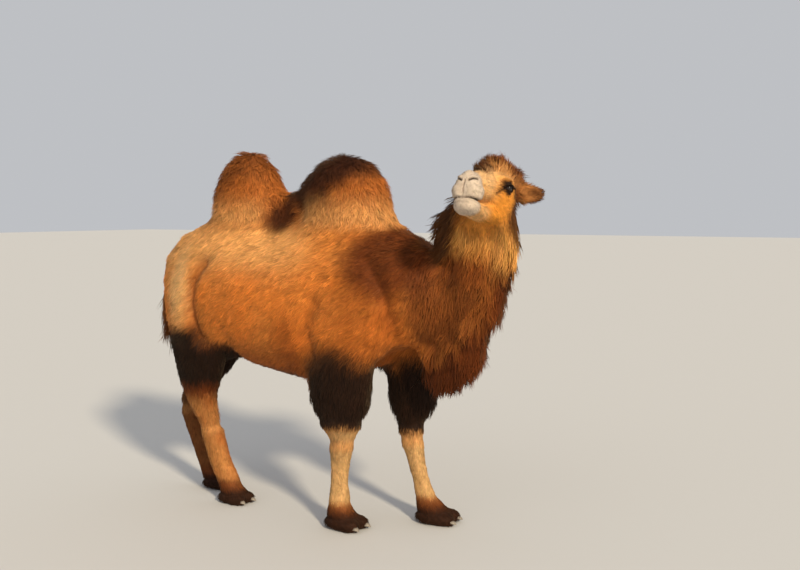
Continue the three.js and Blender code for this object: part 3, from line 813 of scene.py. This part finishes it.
    # Painted shade: the far, left thigh is darker.
    paint(SOOT, thigh * ramp(y, -0.02, 0.06) * 0.75)
    paint(LEG_SAND, shank)
    hind = ramp(-x, 0.2, 0.4)
    paint(TAN, shank * hind)
    paint(CHESTNUT, (shank + foot) * hind * ramp(patch, -0.3, 0.5) * 0.6)
    paint(TAN, (shank + sleeve) * (1 - hind) * ramp(-z, -end, -end + 0.01) * ramp(patch, -0.1, 0.6) * 0.7)
    # Painted shade: the far, left hind shank is darker.
    paint(UMBER, shank * hind * ramp(y, 0.02, 0.06) * 0.7)
    paint(CHESTNUT, shank * (1 - hind) * ramp(z + 0.03 * patch, 0.40, 0.47) * 0.45)
    paint(RUSSET, (shank + foot) * ramp(-z + 0.02 * patch, -0.17, -0.12) * 0.9)
    paint(UMBER, foot * ramp(-z + 0.02 * patch, -0.13, -0.09) * 0.8)
    paint(SOOT, foot * ramp(-z, -0.11, -0.06) * 0.85)
    paint(UMBER, tail * 0.9)
    shade = 1 + 0.14 * patch + 0.08 * lattice(co, 0.025, 3)
    return colour * shade[:, None]


# ---------------------------------------------------------------- the lie of the coat
EVEN_WAYS = {  # where a region's hair runs one way all over
    "neck": (-0.3, 0, -1),
    "sleeve": (-0.1, 0, -1),
    "thigh": (-0.2, 0, -1),
    "shank": (0, 0, -1),
    "foot": (0.6, 0, -0.7),
    "beard": (-0.12, 0, -1),
    "tail": (0, 0, -1),
}


def lie_of_coat(co, share):
    """The way the hair runs at each vertex, before it is laid on the skin."""
    x, y, z = (co - BODY_AT).T
    side, down = np.sign(y), -np.ones(len(co))
    ahead, left, up = HEAD_AXES
    q = to_head(co)
    fx, fy, fz = q.T[:, :, None]
    crest = crest_of(q)[:, None]
    over_face = 0.3 * up * ramp(fz, -60, 40) - 0.5 * up * ramp(-fz, 20, 90) - ahead
    fan = ahead * (0.25 + ramp(fx, -80, 10) * 0.85) + 0.9 * up - 0.5 * ahead * ramp(-fx, 90, 200)
    ways = {
        "trunk": np.c_[0.8 * down, 0.5 * side * ramp(z, 1.3, 1.6), 0.65 * down],
        "hump": np.c_[(x - crown_of(x)) * 3.0 - 0.1, y * 4.0, 0.8 * down],
        "mane": np.c_[0.6 * down, 0.15 * side, 0.7 * down],
        "face": over_face * (1 - crest) + (1.1 * ahead + 0.8 * up) * crest,
        "ear": np.sign(fy) * left * 0.9 - 0.3 * ahead + 0.2 * up,
        "forelock": fan + left * (fy / 90),
    }
    ways |= {name: np.array(way, float) for name, way in EVEN_WAYS.items()}
    return sum(share[:, k, None] * unit(ways[name]) for name, k in REGION.items())


def along_skin(ways):
    return unit(ways - np.sum(ways * skin_normal, axis=1, keepdims=True) * skin_normal)


co, tris, edges = mesh_arrays(skin.data)
skin_normal = vertex_normals(co, tris)
share = settle(share, edges, 3)
share /= share.sum(axis=1, keepdims=True)
way = along_skin(settle(along_skin(lie_of_coat(co, share)), edges, 8))
colour = markings(co, share, np.clip(crease / DEEPEST_CREASE, 0, 1))
setting = share @ TABLE
region_of = np.argmax(share, axis=1)


def adjust(amount, hair):
    """Moves the coat's setting towards the given one."""
    for column, value in hair.items():
        setting[:, column] += (value - setting[:, column]) * amount


# Sleeves end above the knees, and the hair on the fore legs is short below them.
end = hair_end(co)
short = belongs("sleeve") * (1 - ramp(co[:, 2], end, end + 0.05))
adjust(short, {LENGTH: 24, WIDTH: 1.6, GAP: 6.4, LIFT: 10, DRAW: 0.2})
taper = belongs("sleeve") * (1 - ramp(co[:, 2], end + 0.01, end + 0.20)) * (1 - short)
setting[:, LENGTH] *= 1 - taper * 0.5
setting[:, LIFT] *= 1 - taper * 0.4
# The hair under the throat ends in a rounded fringe.
facing_down = -skin_normal[:, 2]
setting[:, LENGTH] *= 1 - 0.6 * belongs("beard") * ramp(facing_down, 0.2, 0.8)
# The face's hair shortens to nothing on the lips, the nostrils and the lids.
q = mirrored(to_head(co))
on_face = belongs("face")
bare = np.max([1 - ramp(across_eye(q), 1.15, 1.4), line_at["mouth"] ** 0.3, line_at["nostril"] ** 0.3], axis=0)
bare = np.maximum(bare, 0.6 * ramp(q[:, 0], 175, 215)) * on_face
adjust(crest_of(q) * on_face, {LENGTH: 70, WIDTH: 1.8, LIFT: 50})
adjust(ear_base(q) * on_face, {LENGTH: 46, WIDTH: 1.7, LIFT: 30})
adjust(ramp(-q[:, 0], 10, 110) * on_face, {LENGTH: 24, WIDTH: 1.4, LIFT: 15})
setting[:, LENGTH] *= 1 - 0.45 * on_face * ramp(q[:, 0], 120, 200)
# The soles are bare.
bare = np.maximum(bare, belongs("foot") * ramp(facing_down, 0.2, 0.5))
crowd = (1 - bare) / np.square(setting[:, GAP] / 1000)


# ---------------------------------------------------------------- the skin's own unwrap
def unwrap_skin():
    select_only(skin)
    bpy.ops.object.mode_set(mode="EDIT")
    bpy.ops.mesh.select_all(action="SELECT")
    bpy.ops.uv.smart_project(angle_limit=math.radians(66), island_margin=0.001)
    bpy.ops.object.mode_set(mode="OBJECT")
    skin.data.uv_layers[0].name = "OFBake"
    uv = np.empty(len(skin.data.loops) * 2)
    skin.data.uv_layers["OFBake"].uv.foreach_get("vector", uv)
    corners = np.empty(len(skin.data.loop_triangles) * 3, np.int32)
    skin.data.calc_loop_triangles()
    skin.data.loop_triangles.foreach_get("loops", corners)
    return uv.reshape(-1, 2)[corners.reshape(-1, 3)]


corner_uv = unwrap_skin()

# ---------------------------------------------------------------- tufts
RING_PLACES = {2: (0.0, 0.5), 3: (0.0, 0.38, 0.76)}  # along a tuft, by how many rings it has
RING_WIDTHS = {2: (1.0, 0.78), 3: (1.0, 0.9, 0.5)}
CORNERS = ((1, 0), (0, 0.75), (-1, 0))  # of a ring: sideways and outward
SIDES = ((0, 1), (1, 2), (2, 0))
ROOT_LIFT, TIP_LIFT = 1.5, 0.35  # a tuft rises from its root and flattens towards its tip
SUNK = 0.02  # how deep the root sits, as a part of the length
FOLLOWERS = 7  # tufts that draw together
GROUP_TONE, TUFT_TONE, TUFT_HUE = 0.12, 0.10, 0.03  # how far tufts differ in colour
ROOT_DARKER, ROOT_TO_TIP = 0.26, 0.38
UV_PATCH = 0.003


def sow(region):
    """Roots on the skin: the triangle of each and its weights on the triangle's corners."""
    area = np.linalg.norm(np.cross(co[tris[:, 1]] - co[tris[:, 0]], co[tris[:, 2]] - co[tris[:, 0]]), axis=1) / 2
    mine = region_of[tris[:, 0]] == region
    wanted = np.where(mine, area * crowd[tris].mean(axis=1), 0)
    count = np.floor(wanted + draw.random(len(wanted))).astype(int)
    of = np.repeat(np.arange(len(tris)), count)
    a, b = draw.random((2, len(of)))
    flip = a + b > 1
    a, b = np.where(flip, 1 - a, a), np.where(flip, 1 - b, b)
    return of, np.column_stack([1 - a - b, a, b])


def at_roots(values, of, weights):
    return np.einsum("tk,tkc->tc", weights, values[tris[of]].reshape(len(of), 3, -1))


def shape_locks(root, normal, lie, length, width, lift, curl, hang, pull_in, tint, uv, rings):
    """Closed three-sided tapering locks: their places, faces, colours, marks, unwrap and the
    directions they are shaded by, which follow the skin so that the coat reads as one soft mass."""
    n = len(root)
    across = np.cross(normal, lie)
    first, last = (lie * np.cos(lift * k)[:, None] + normal * np.sin(lift * k)[:, None] for k in (ROOT_LIFT, TIP_LIFT))

    def along(t):
        reach = first * t + (last - first) * t * t / 2 + across * (curl * t * t)[:, None]
        reach[:, 2] -= hang * t * t
        return root - normal * (SUNK * length[:, None]) + reach * length[:, None]

    # Tips draw together round a few leaders.
    tip = along(1.0)
    leaders = draw.choice(n, max(n // FOLLOWERS, 1), replace=False)
    tree = KDTree(len(leaders))
    for k, i in enumerate(leaders):
        tree.insert(root[i], k)
    tree.balance()
    nearest = leaders[[tree.find(r)[1] for r in root]]
    pull = (tip[nearest] - tip) * pull_in[:, None]
    pull *= np.minimum(1, 0.5 * length / np.maximum(np.linalg.norm(pull, axis=1), 1e-9))[:, None]
    shared_tone = draw.normal(size=n)[nearest] * GROUP_TONE

    places, marks, shades = [], [], []
    twist = draw.normal(size=n) * 0.5
    steps = [*RING_PLACES[rings], 1.0]
    centres = [along(t) + pull * t * t for t in steps]
    for k in range(rings):
        run = unit(centres[k + 1] - centres[max(k - 1, 0)])
        flat = unit(across * np.cos(twist)[:, None] + normal * np.sin(twist)[:, None])
        flat = unit(flat - np.sum(flat * run, axis=1, keepdims=True) * run)
        over = np.cross(run, flat)
        w = (width * RING_WIDTHS[rings][k])[:, None]
        for sideways, above in CORNERS:
            places.append(centres[k] + flat * w * sideways + over * w * above)
            marks.append((sideways, steps[k]))
            shades.append(unit(normal + 0.4 * sideways * flat + 0.15 * run))
    places.append(centres[-1])
    marks.append((0, 1))
    shades.append(unit(normal + 0.3 * run))

    marks = np.array(marks, float)
    tone = 1 + shared_tone + TUFT_TONE * draw.normal(size=n)
    warm = 1 + TUFT_HUE * draw.normal(size=(n, 3))
    deep = np.clip((length - 0.012) / 0.03, 0.2, 1)[:, None]  # roots are darker where the hair is long
    fade = 1 + deep * (-ROOT_DARKER + ROOT_TO_TIP * marks[:, 1])
    tones = (tint * tone[:, None] * warm)[:, None, :] * fade[:, :, None]
    lock = np.empty((n, len(marks), 3))
    lock[:, :, :2] = marks
    lock[:, :, 2] = draw.random(n)[:, None]
    uv = uv[:, None, :] + (marks + [1, 0]) / [2, 1] * UV_PATCH

    faces = [(0, 2, 1)]
    for k in range(0, 3 * rings - 3, 3):
        for a, b in SIDES:
            faces += [(k + a, k + b, k + b + 3), (k + a, k + b + 3, k + a + 3)]
    faces += [(3 * rings - 3 + a, 3 * rings - 3 + b, 3 * rings) for a, b in SIDES]
    return np.stack(places, axis=1), np.array(faces), tones, lock, uv, np.stack(shades, axis=1)


def grow(region):
    """All the tufts of a region, and their roots."""
    of, weights = sow(region)
    n = len(of)
    root = at_roots(co, of, weights)
    normal = unit(at_roots(skin_normal, of, weights))
    lie = unit(at_roots(way, of, weights))
    s = at_roots(setting, of, weights)
    swirl = (0.55 * lattice(root, 0.06, 5) + 0.3 * draw.normal(size=n)) * s[:, BEND] * 2
    lie = lie * np.cos(swirl)[:, None] + np.cross(normal, lie) * np.sin(swirl)[:, None]
    length = s[:, LENGTH] / 1000 * (0.72 + 0.5 * draw.random(n)) * (1 + 0.18 * lattice(root, 0.05, 6))
    width = s[:, WIDTH] / 1000 * (0.75 + 0.5 * draw.random(n))
    lift = np.radians(s[:, LIFT]) * (0.6 + 0.8 * draw.random(n)) * (1 + 0.3 * lattice(root, 0.09, 7))
    curl = s[:, BEND] * draw.normal(size=n)
    tint = at_roots(colour, of, weights)
    uv = np.einsum("tk,tkc->tc", weights, corner_uv[of])
    form = (length, width, lift, curl, s[:, HANG], s[:, DRAW])
    places, *rest = shape_locks(root, normal, lie, *form, tint, uv, int(TABLE[region, RINGS]))
    places[:, :, 2] = np.maximum(places[:, :, 2], SOLE / 2)
    return root, places, *rest


def keep_mark(mesh, name, rows):
    """Stores a vector, or a colour where there are four columns, at each vertex."""
    kind, field = ("FLOAT_COLOR", "color") if rows.shape[-1] == 4 else ("FLOAT_VECTOR", "vector")
    mesh.attributes.new(name, kind, "POINT").data.foreach_set(field, rows.ravel())


def opaque(colours):
    return np.concatenate([colours, np.ones((*colours.shape[:-1], 1))], axis=-1)


def coat_piece(name, places, faces, tones, lock, uv, shades, finish):
    n, each = places.shape[:2]
    index = (faces[None] + (np.arange(n) * each)[:, None, None]).reshape(-1, 3)
    mesh = bpy.data.meshes.new(name)
    mesh.vertices.add(n * each)
    mesh.loops.add(index.size)
    mesh.polygons.add(len(index))
    mesh.vertices.foreach_set("co", places.ravel())
    mesh.loops.foreach_set("vertex_index", index.ravel())
    mesh.polygons.foreach_set("loop_start", np.arange(len(index)) * 3)
    mesh.polygons.foreach_set("use_smooth", np.ones(len(index), bool))
    mesh.update(calc_edges=True)
    keep_mark(mesh, "coat_colour", opaque(tones))
    keep_mark(mesh, "lock_place", lock)
    layer = mesh.uv_layers.new(name="OFBake")
    layer.uv.foreach_set("vector", uv.reshape(-1, 2)[index.ravel()].ravel())
    mesh.normals_split_custom_set_from_vertices(shades.reshape(-1, 3))
    mesh.materials.append(finish)
    obj = new_object(name, mesh)
    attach(obj, "root")
    return obj


# ---------------------------------------------------------------- finishes
def finish_named(name, roughness, **inputs):
    material = bpy.data.materials.new(name)
    material.use_nodes = True
    shader = material.node_tree.nodes["Principled BSDF"]
    shader.inputs["Roughness"].default_value = roughness
    for key, value in inputs.items():
        shader.inputs[key.replace("_", " ")].default_value = value
    return material, material.node_tree, shader


def node_of(tree, kind, inputs=None, **settings):
    node = tree.nodes.new(kind)
    for key, value in settings.items():
        setattr(node, key, value)
    for key, value in (inputs or {}).items():
        node.inputs[key].default_value = value
    return node


def mark_of(tree, name):
    return node_of(tree, "ShaderNodeAttribute", attribute_name=name)


def stretched(tree, vector, factors):
    node = node_of(tree, "ShaderNodeVectorMath", {1: factors}, operation="MULTIPLY")
    tree.links.new(vector, node.inputs[0])
    return node.outputs[0]


def noise(tree, vector, scale, detail=2):
    node = node_of(tree, "ShaderNodeTexNoise", {"Scale": scale, "Detail": detail})
    tree.links.new(vector, node.inputs["Vector"])
    return node.outputs["Fac"]


def multiply(tree, a, b):
    mix = node_of(tree, "ShaderNodeMix", {"Factor": 1.0}, data_type="RGBA", blend_type="MULTIPLY")
    tree.links.new(a, mix.inputs[6])
    tree.links.new(b, mix.inputs[7])
    return mix.outputs[2]


def grey_between(tree, value, low, high):
    """A grey from low to high as a value runs from 0 to 1."""
    node = node_of(tree, "ShaderNodeMapRange", {"To Min": low, "To Max": high})
    tree.links.new(value, node.inputs["Value"])
    return node.outputs["Result"]


def colours_along(tree, value, stops):
    node = node_of(tree, "ShaderNodeValToRGB")
    elements = node.color_ramp.elements
    for k, (at, shade) in enumerate(stops):
        stop = elements[k] if k < 2 else elements.new(at)
        stop.position, stop.color = at, (*shade, 1)
    tree.links.new(value, node.inputs["Fac"])
    return node.outputs["Color"]


def base_colour(tree, shader, colour, tone):
    tree.links.new(multiply(tree, colour, tone), shader.inputs["Base Color"])


def add_bump(tree, shader, height, strength, distance):
    bump = node_of(tree, "ShaderNodeBump", {"Strength": strength, "Distance": distance})
    tree.links.new(height, bump.inputs["Height"])
    tree.links.new(bump.outputs["Normal"], shader.inputs["Normal"])


def coat_finish(name, sheen, roughness):
    sheens = {"Sheen_Weight": sheen, "Sheen_Roughness": 0.4, "Sheen_Tint": (1.0, 0.72, 0.42, 1)}
    material, tree, shader = finish_named(name, roughness, **sheens, Specular_IOR_Level=0.12)
    strands = noise(tree, stretched(tree, mark_of(tree, "lock_place").outputs["Vector"], (3.2, 0.7, 90)), 1.6)
    base_colour(tree, shader, mark_of(tree, "coat_colour").outputs["Color"], grey_between(tree, strands, 0.72, 1.28))
    add_bump(tree, shader, strands, 0.5, 0.002)
    return material


def skin_finish():
    material, tree, shader = finish_named("hide_and_short_hair", 0.8, Specular_IOR_Level=0.2)
    where = node_of(tree, "ShaderNodeTexCoord").outputs["Object"]
    nap, creases = noise(tree, where, 420, 3), noise(tree, where, 90)
    tone = multiply(tree, grey_between(tree, nap, 0.84, 1.16), grey_between(tree, creases, 0.86, 1.14))
    base_colour(tree, shader, mark_of(tree, "coat_colour").outputs["Color"], tone)
    add_bump(tree, shader, nap, 0.6, 0.0007)
    return material


woolly = coat_finish("woolly_coat", 0.12, 0.75)
long_hair = coat_finish("long_hair", 0.08, 0.6)
short_hair = coat_finish("short_hair", 0.08, 0.75)

# ---------------------------------------------------------------- skin and coat
PIECE_LIMIT = 190000  # triangles
COATS = {  # each region's slot and finish
    "trunk": ("body_coat", woolly),
    "hump": ("body_coat", long_hair),
    "neck": ("long_hair", long_hair),
    "face": ("face_coat", short_hair),
    "ear": ("face_coat", short_hair),
    "sleeve": ("dark_hair", long_hair),
    "thigh": ("body_coat", short_hair),
    "shank": ("leg_coat", short_hair),
    "foot": ("leg_coat", short_hair),
    "forelock": ("dark_hair", long_hair),
    "mane": ("dark_hair", long_hair),
    "beard": ("long_hair", long_hair),
    "tail": ("long_hair", long_hair),
}
STANDS_FOR = {"forelock": "forelock", "mane": "nape_mane", "beard": "throat_hair", "tail": "tail"}
# Painted shade: the skin under the longer coat is darkened, as if in shade beneath the hair.
short_haired = np.isin(region_of, [REGION[name] for name in ("face", "ear", "shank", "foot")])
keep_mark(skin.data, "coat_colour", opaque(colour * (0.85 + 0.15 * short_haired)[:, None]))
skin.data.materials.clear()
skin.data.materials.append(skin_finish())
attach(skin, "root")
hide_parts(*[node for node in FLESH if node not in STANDS_FOR.values()])

for name, region in REGION.items():
    slot, finish = COATS[name]
    root, places, faces, *looks = grow(region)
    order = np.argsort(root[:, 0] + 10 * (root[:, 1] > BODY_AT[1]))  # the right side, then the left
    groups = np.array_split(order, math.ceil(len(root) * len(faces) / PIECE_LIMIT))
    for k, group in enumerate(groups):
        piece_name = f"{name}_coat" + (f"_{k + 1}" if len(groups) > 1 else "")
        piece = coat_piece(piece_name, places[group], faces, *[rows[group] for rows in looks], finish)
        if name in STANDS_FOR:
            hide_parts(STANDS_FOR[name])


# ---------------------------------------------------------------- lashes
LASH_LENGTH, LASH_WIDTH = 0.017, 0.0008
LASH_LINE = 1.04  # how far out on the lid they stand, against the opening's edge


def lashes(side, count=44):
    """Long lashes along the upper lid."""
    t = np.radians(np.linspace(12, 168, count))
    u = np.cos(t) * EYE_SLIT[0] * LASH_LINE
    v = np.sin(t) * EYE_SLIT[1] * LASH_LINE / (1 + LIDS_NARROW * np.cos(t) ** 2)
    u, v = turned(u, v, -EYE_SLANT)
    at = onto(bare_head, EYE_AT + np.outer(u, EYE_LEVEL) + np.outer(v - 1, EYE_UP) + EYE_OUT * 20) + EYE_OUT * 0.5
    lie = EYE_OUT * 0.9 + np.outer(np.cos(t) * 0.3, EYE_LEVEL) - 0.5 * EYE_UP
    mirror = np.array([1, side, 1])
    root = from_head(at * mirror)
    lie = unit(lie * mirror @ HEAD_AXES)
    normal = EYE_UP * mirror @ HEAD_AXES
    normal = unit(normal - np.sum(lie * normal, axis=1, keepdims=True) * lie)
    middles = co[tris].mean(axis=1)
    on = [np.argmin(np.sum(np.square(middles - r), axis=1)) for r in root]
    each = np.ones(count)
    length = LASH_LENGTH * (0.8 + 0.4 * draw.random(count))
    curl = 0.1 * draw.normal(size=count)
    form = (length, LASH_WIDTH * each, 0.1 * each, curl, 0.25 * each, 0.3 * each)
    return shape_locks(root, normal, lie, *form, np.tile(SOOT * 0.4, (count, 1)), corner_uv[on].mean(axis=1), 3)


(left_places, faces, *left_looks), (right_places, _, *right_looks) = lashes(1), lashes(-1)
looks = [np.concatenate(both) for both in zip(left_looks, right_looks)]
lash_piece = coat_piece("lashes_coat", np.concatenate([left_places, right_places]), faces, *looks, long_hair)


def new_ball(name, segments, ring_count):
    """A ball of radius 1, and its places with the poles' line first."""
    bpy.ops.object.select_all(action="DESELECT")
    bpy.ops.mesh.primitive_uv_sphere_add(segments=segments, ring_count=ring_count, radius=1)
    obj = bpy.context.object
    obj.name = obj.data.name = name
    return obj, mesh_arrays(obj.data)[0][:, [2, 0, 1]]


def finish_ball(obj, places, mark, rows, material, node):
    set_places(obj.data, places)
    keep_mark(obj.data, mark, rows)
    bpy.ops.object.shade_smooth()
    obj.data.materials.append(material)
    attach(obj, "root")
    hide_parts(node)


# ---------------------------------------------------------------- eyes
BLACK, IRIS, IRIS_EDGE = (0.004, 0.003, 0.003), (0.024, 0.011, 0.005), (0.014, 0.007, 0.004)
RIM, WHITE = (0.006, 0.004, 0.003), (0.03, 0.02, 0.015)
EYE_STOPS = ((0.0, BLACK), (0.36, BLACK), (0.40, IRIS), (0.72, IRIS_EDGE), (0.86, RIM), (1.0, WHITE))


def eye_finish():
    coat = {"Coat_Weight": 0.5, "Coat_Roughness": 0.02}
    material, tree, shader = finish_named("wet_eye", 0.12, **coat, Specular_IOR_Level=0.25)
    place = mark_of(tree, "eye_place").outputs["Vector"]
    away = node_of(tree, "ShaderNodeVectorMath", operation="LENGTH")
    tree.links.new(stretched(tree, place, (0, 1, 1.55)), away.inputs[0])
    rings = colours_along(tree, away.outputs["Value"], EYE_STOPS)
    base_colour(tree, shader, rings, grey_between(tree, noise(tree, place, 9), 0.7, 1.3))
    return material


eye_material = eye_finish()
CORNEA = 0.62  # how far out from the middle of the eye the cornea reaches, as a part of the radius
CORNEA_BULGE = 0.07
for name, side in (("left", 1), ("right", -1)):
    eye, ball = new_ball(f"eyeball_{name}", 40, 28)
    bulge = np.where(ball[:, 0] > 0, 1 + CORNEA_BULGE * (1 - ramp(np.hypot(ball[:, 1], ball[:, 2]), 0.2, CORNEA)), 1)
    gaze = EYE_OUT * [1, side, 1]
    level = unit(np.cross([0, 0, 1], gaze))
    axes = np.array([gaze, level, np.cross(gaze, level)])
    placed = (ball * bulge[:, None]) @ axes * EYE_RADIUS + EYE_AT * [1, side, 1]
    finish_ball(eye, from_head(placed), "eye_place", ball, eye_material, f"eye_{name}")


# ---------------------------------------------------------------- toenails
def nail_finish():
    material, tree, shader = finish_named("worn_horn", 0.45)
    place = mark_of(tree, "nail_place").outputs["Vector"]
    bands = {"Scale": 1.6, "Distortion": 2, "Detail": 3}
    layers = node_of(tree, "ShaderNodeTexWave", bands, wave_type="BANDS", bands_direction="Z")
    tree.links.new(place, layers.inputs["Vector"])
    horn = colours_along(tree, noise(tree, place, 2.2), ((0.25, (0.10, 0.075, 0.055)), (0.75, (0.34, 0.29, 0.23))))
    base_colour(tree, shader, horn, grey_between(tree, layers.outputs["Fac"], 0.86, 1.1))
    add_bump(tree, shader, layers.outputs["Fac"], 0.4, 0.001)
    return material


horn = nail_finish()
NAIL_RADII = np.array([27.0, 19.0, 15.0])
NAIL_AHEAD, NAIL_UP = 114, 22
for leg in LEGS:
    for digit, side in (("outer", 1), ("inner", -1)):
        nail, ball = new_ball(f"toenail_{leg}_{digit}", 32, 20)
        forward, across, above = ball.T
        narrow = 1 - 0.35 * ramp(forward, -0.2, 1.0)
        place = np.column_stack([forward, across * narrow, np.where(above < 0, 0.55 * above, above) * narrow])
        place[:, 2] -= 0.45 * np.clip(forward, 0, 1) ** 2
        place = place * NAIL_RADII @ level_turn(TOE_SPLAY * side) + [NAIL_AHEAD, (TOE_OUT + 5) * side, NAIL_UP]
        finish_ball(nail, from_foot(place, leg), "nail_place", ball[:, [1, 2, 0]], horn, f"{leg}_nail_{digit}")

# ---------------------------------------------------------------- floor, light and camera
VIEW_TURN = math.radians(30.3)
VIEW_DOWN = math.radians(4.29)
CAMERA_AT = Vector((3.053, -4.4115, 1.68))
looking = Vector(
    (-math.sin(VIEW_TURN) * math.cos(VIEW_DOWN), math.cos(VIEW_TURN) * math.cos(VIEW_DOWN), -math.sin(VIEW_DOWN))
)
rightward = Vector((math.cos(VIEW_TURN), math.sin(VIEW_TURN), 0))

bpy.ops.object.select_all(action="DESELECT")
bpy.ops.mesh.primitive_plane_add(size=120)
floor = bpy.context.object
floor.name = "floor"
floor_material, _, floor_shader = finish_named("pale_floor", 0.85)
floor_shader.inputs["Base Color"].default_value = (0.60, 0.59, 0.57, 1)
floor.data.materials.append(floor_material)

world = bpy.data.worlds.new("studio")
bpy.context.scene.world = world
world.use_nodes = True
world.node_tree.nodes["Background"].inputs["Color"].default_value = (0.86, 0.88, 0.92, 1)
world.node_tree.nodes["Background"].inputs["Strength"].default_value = 0.6


def sun(name, towards, strength, softness, colour):
    """A broad even light from the given direction."""
    light = bpy.data.lights.new(name, "SUN")
    light.angle = math.radians(softness)
    light.energy = strength
    light.color = colour
    obj = new_object(name, light)
    obj.rotation_mode = "QUATERNION"
    obj.rotation_quaternion = (-towards).to_track_quat("-Z", "Y")


ahead = Vector((looking.x, looking.y, 0)).normalized()
sun("key", rightward * 0.42 - ahead * 0.9 + Vector((0, 0, 0.52)), 3.7, 6, (1.0, 0.86, 0.64))
sun("fill", -rightward * 0.5 - ahead * 0.8 + Vector((0, 0, 0.5)), 0.25, 60, (1.0, 0.96, 0.92))

camera_data = bpy.data.cameras.new("camera")
camera_data.sensor_width = 36
camera_data.lens = 45
camera = new_object("camera", camera_data)
camera.location = CAMERA_AT
camera.rotation_mode = "QUATERNION"
camera.rotation_quaternion = looking.to_track_quat("-Z", "Y")
camera_data.clip_end = 200
bpy.context.scene.camera = camera
bpy.context.scene.view_settings.view_transform = "Standard"
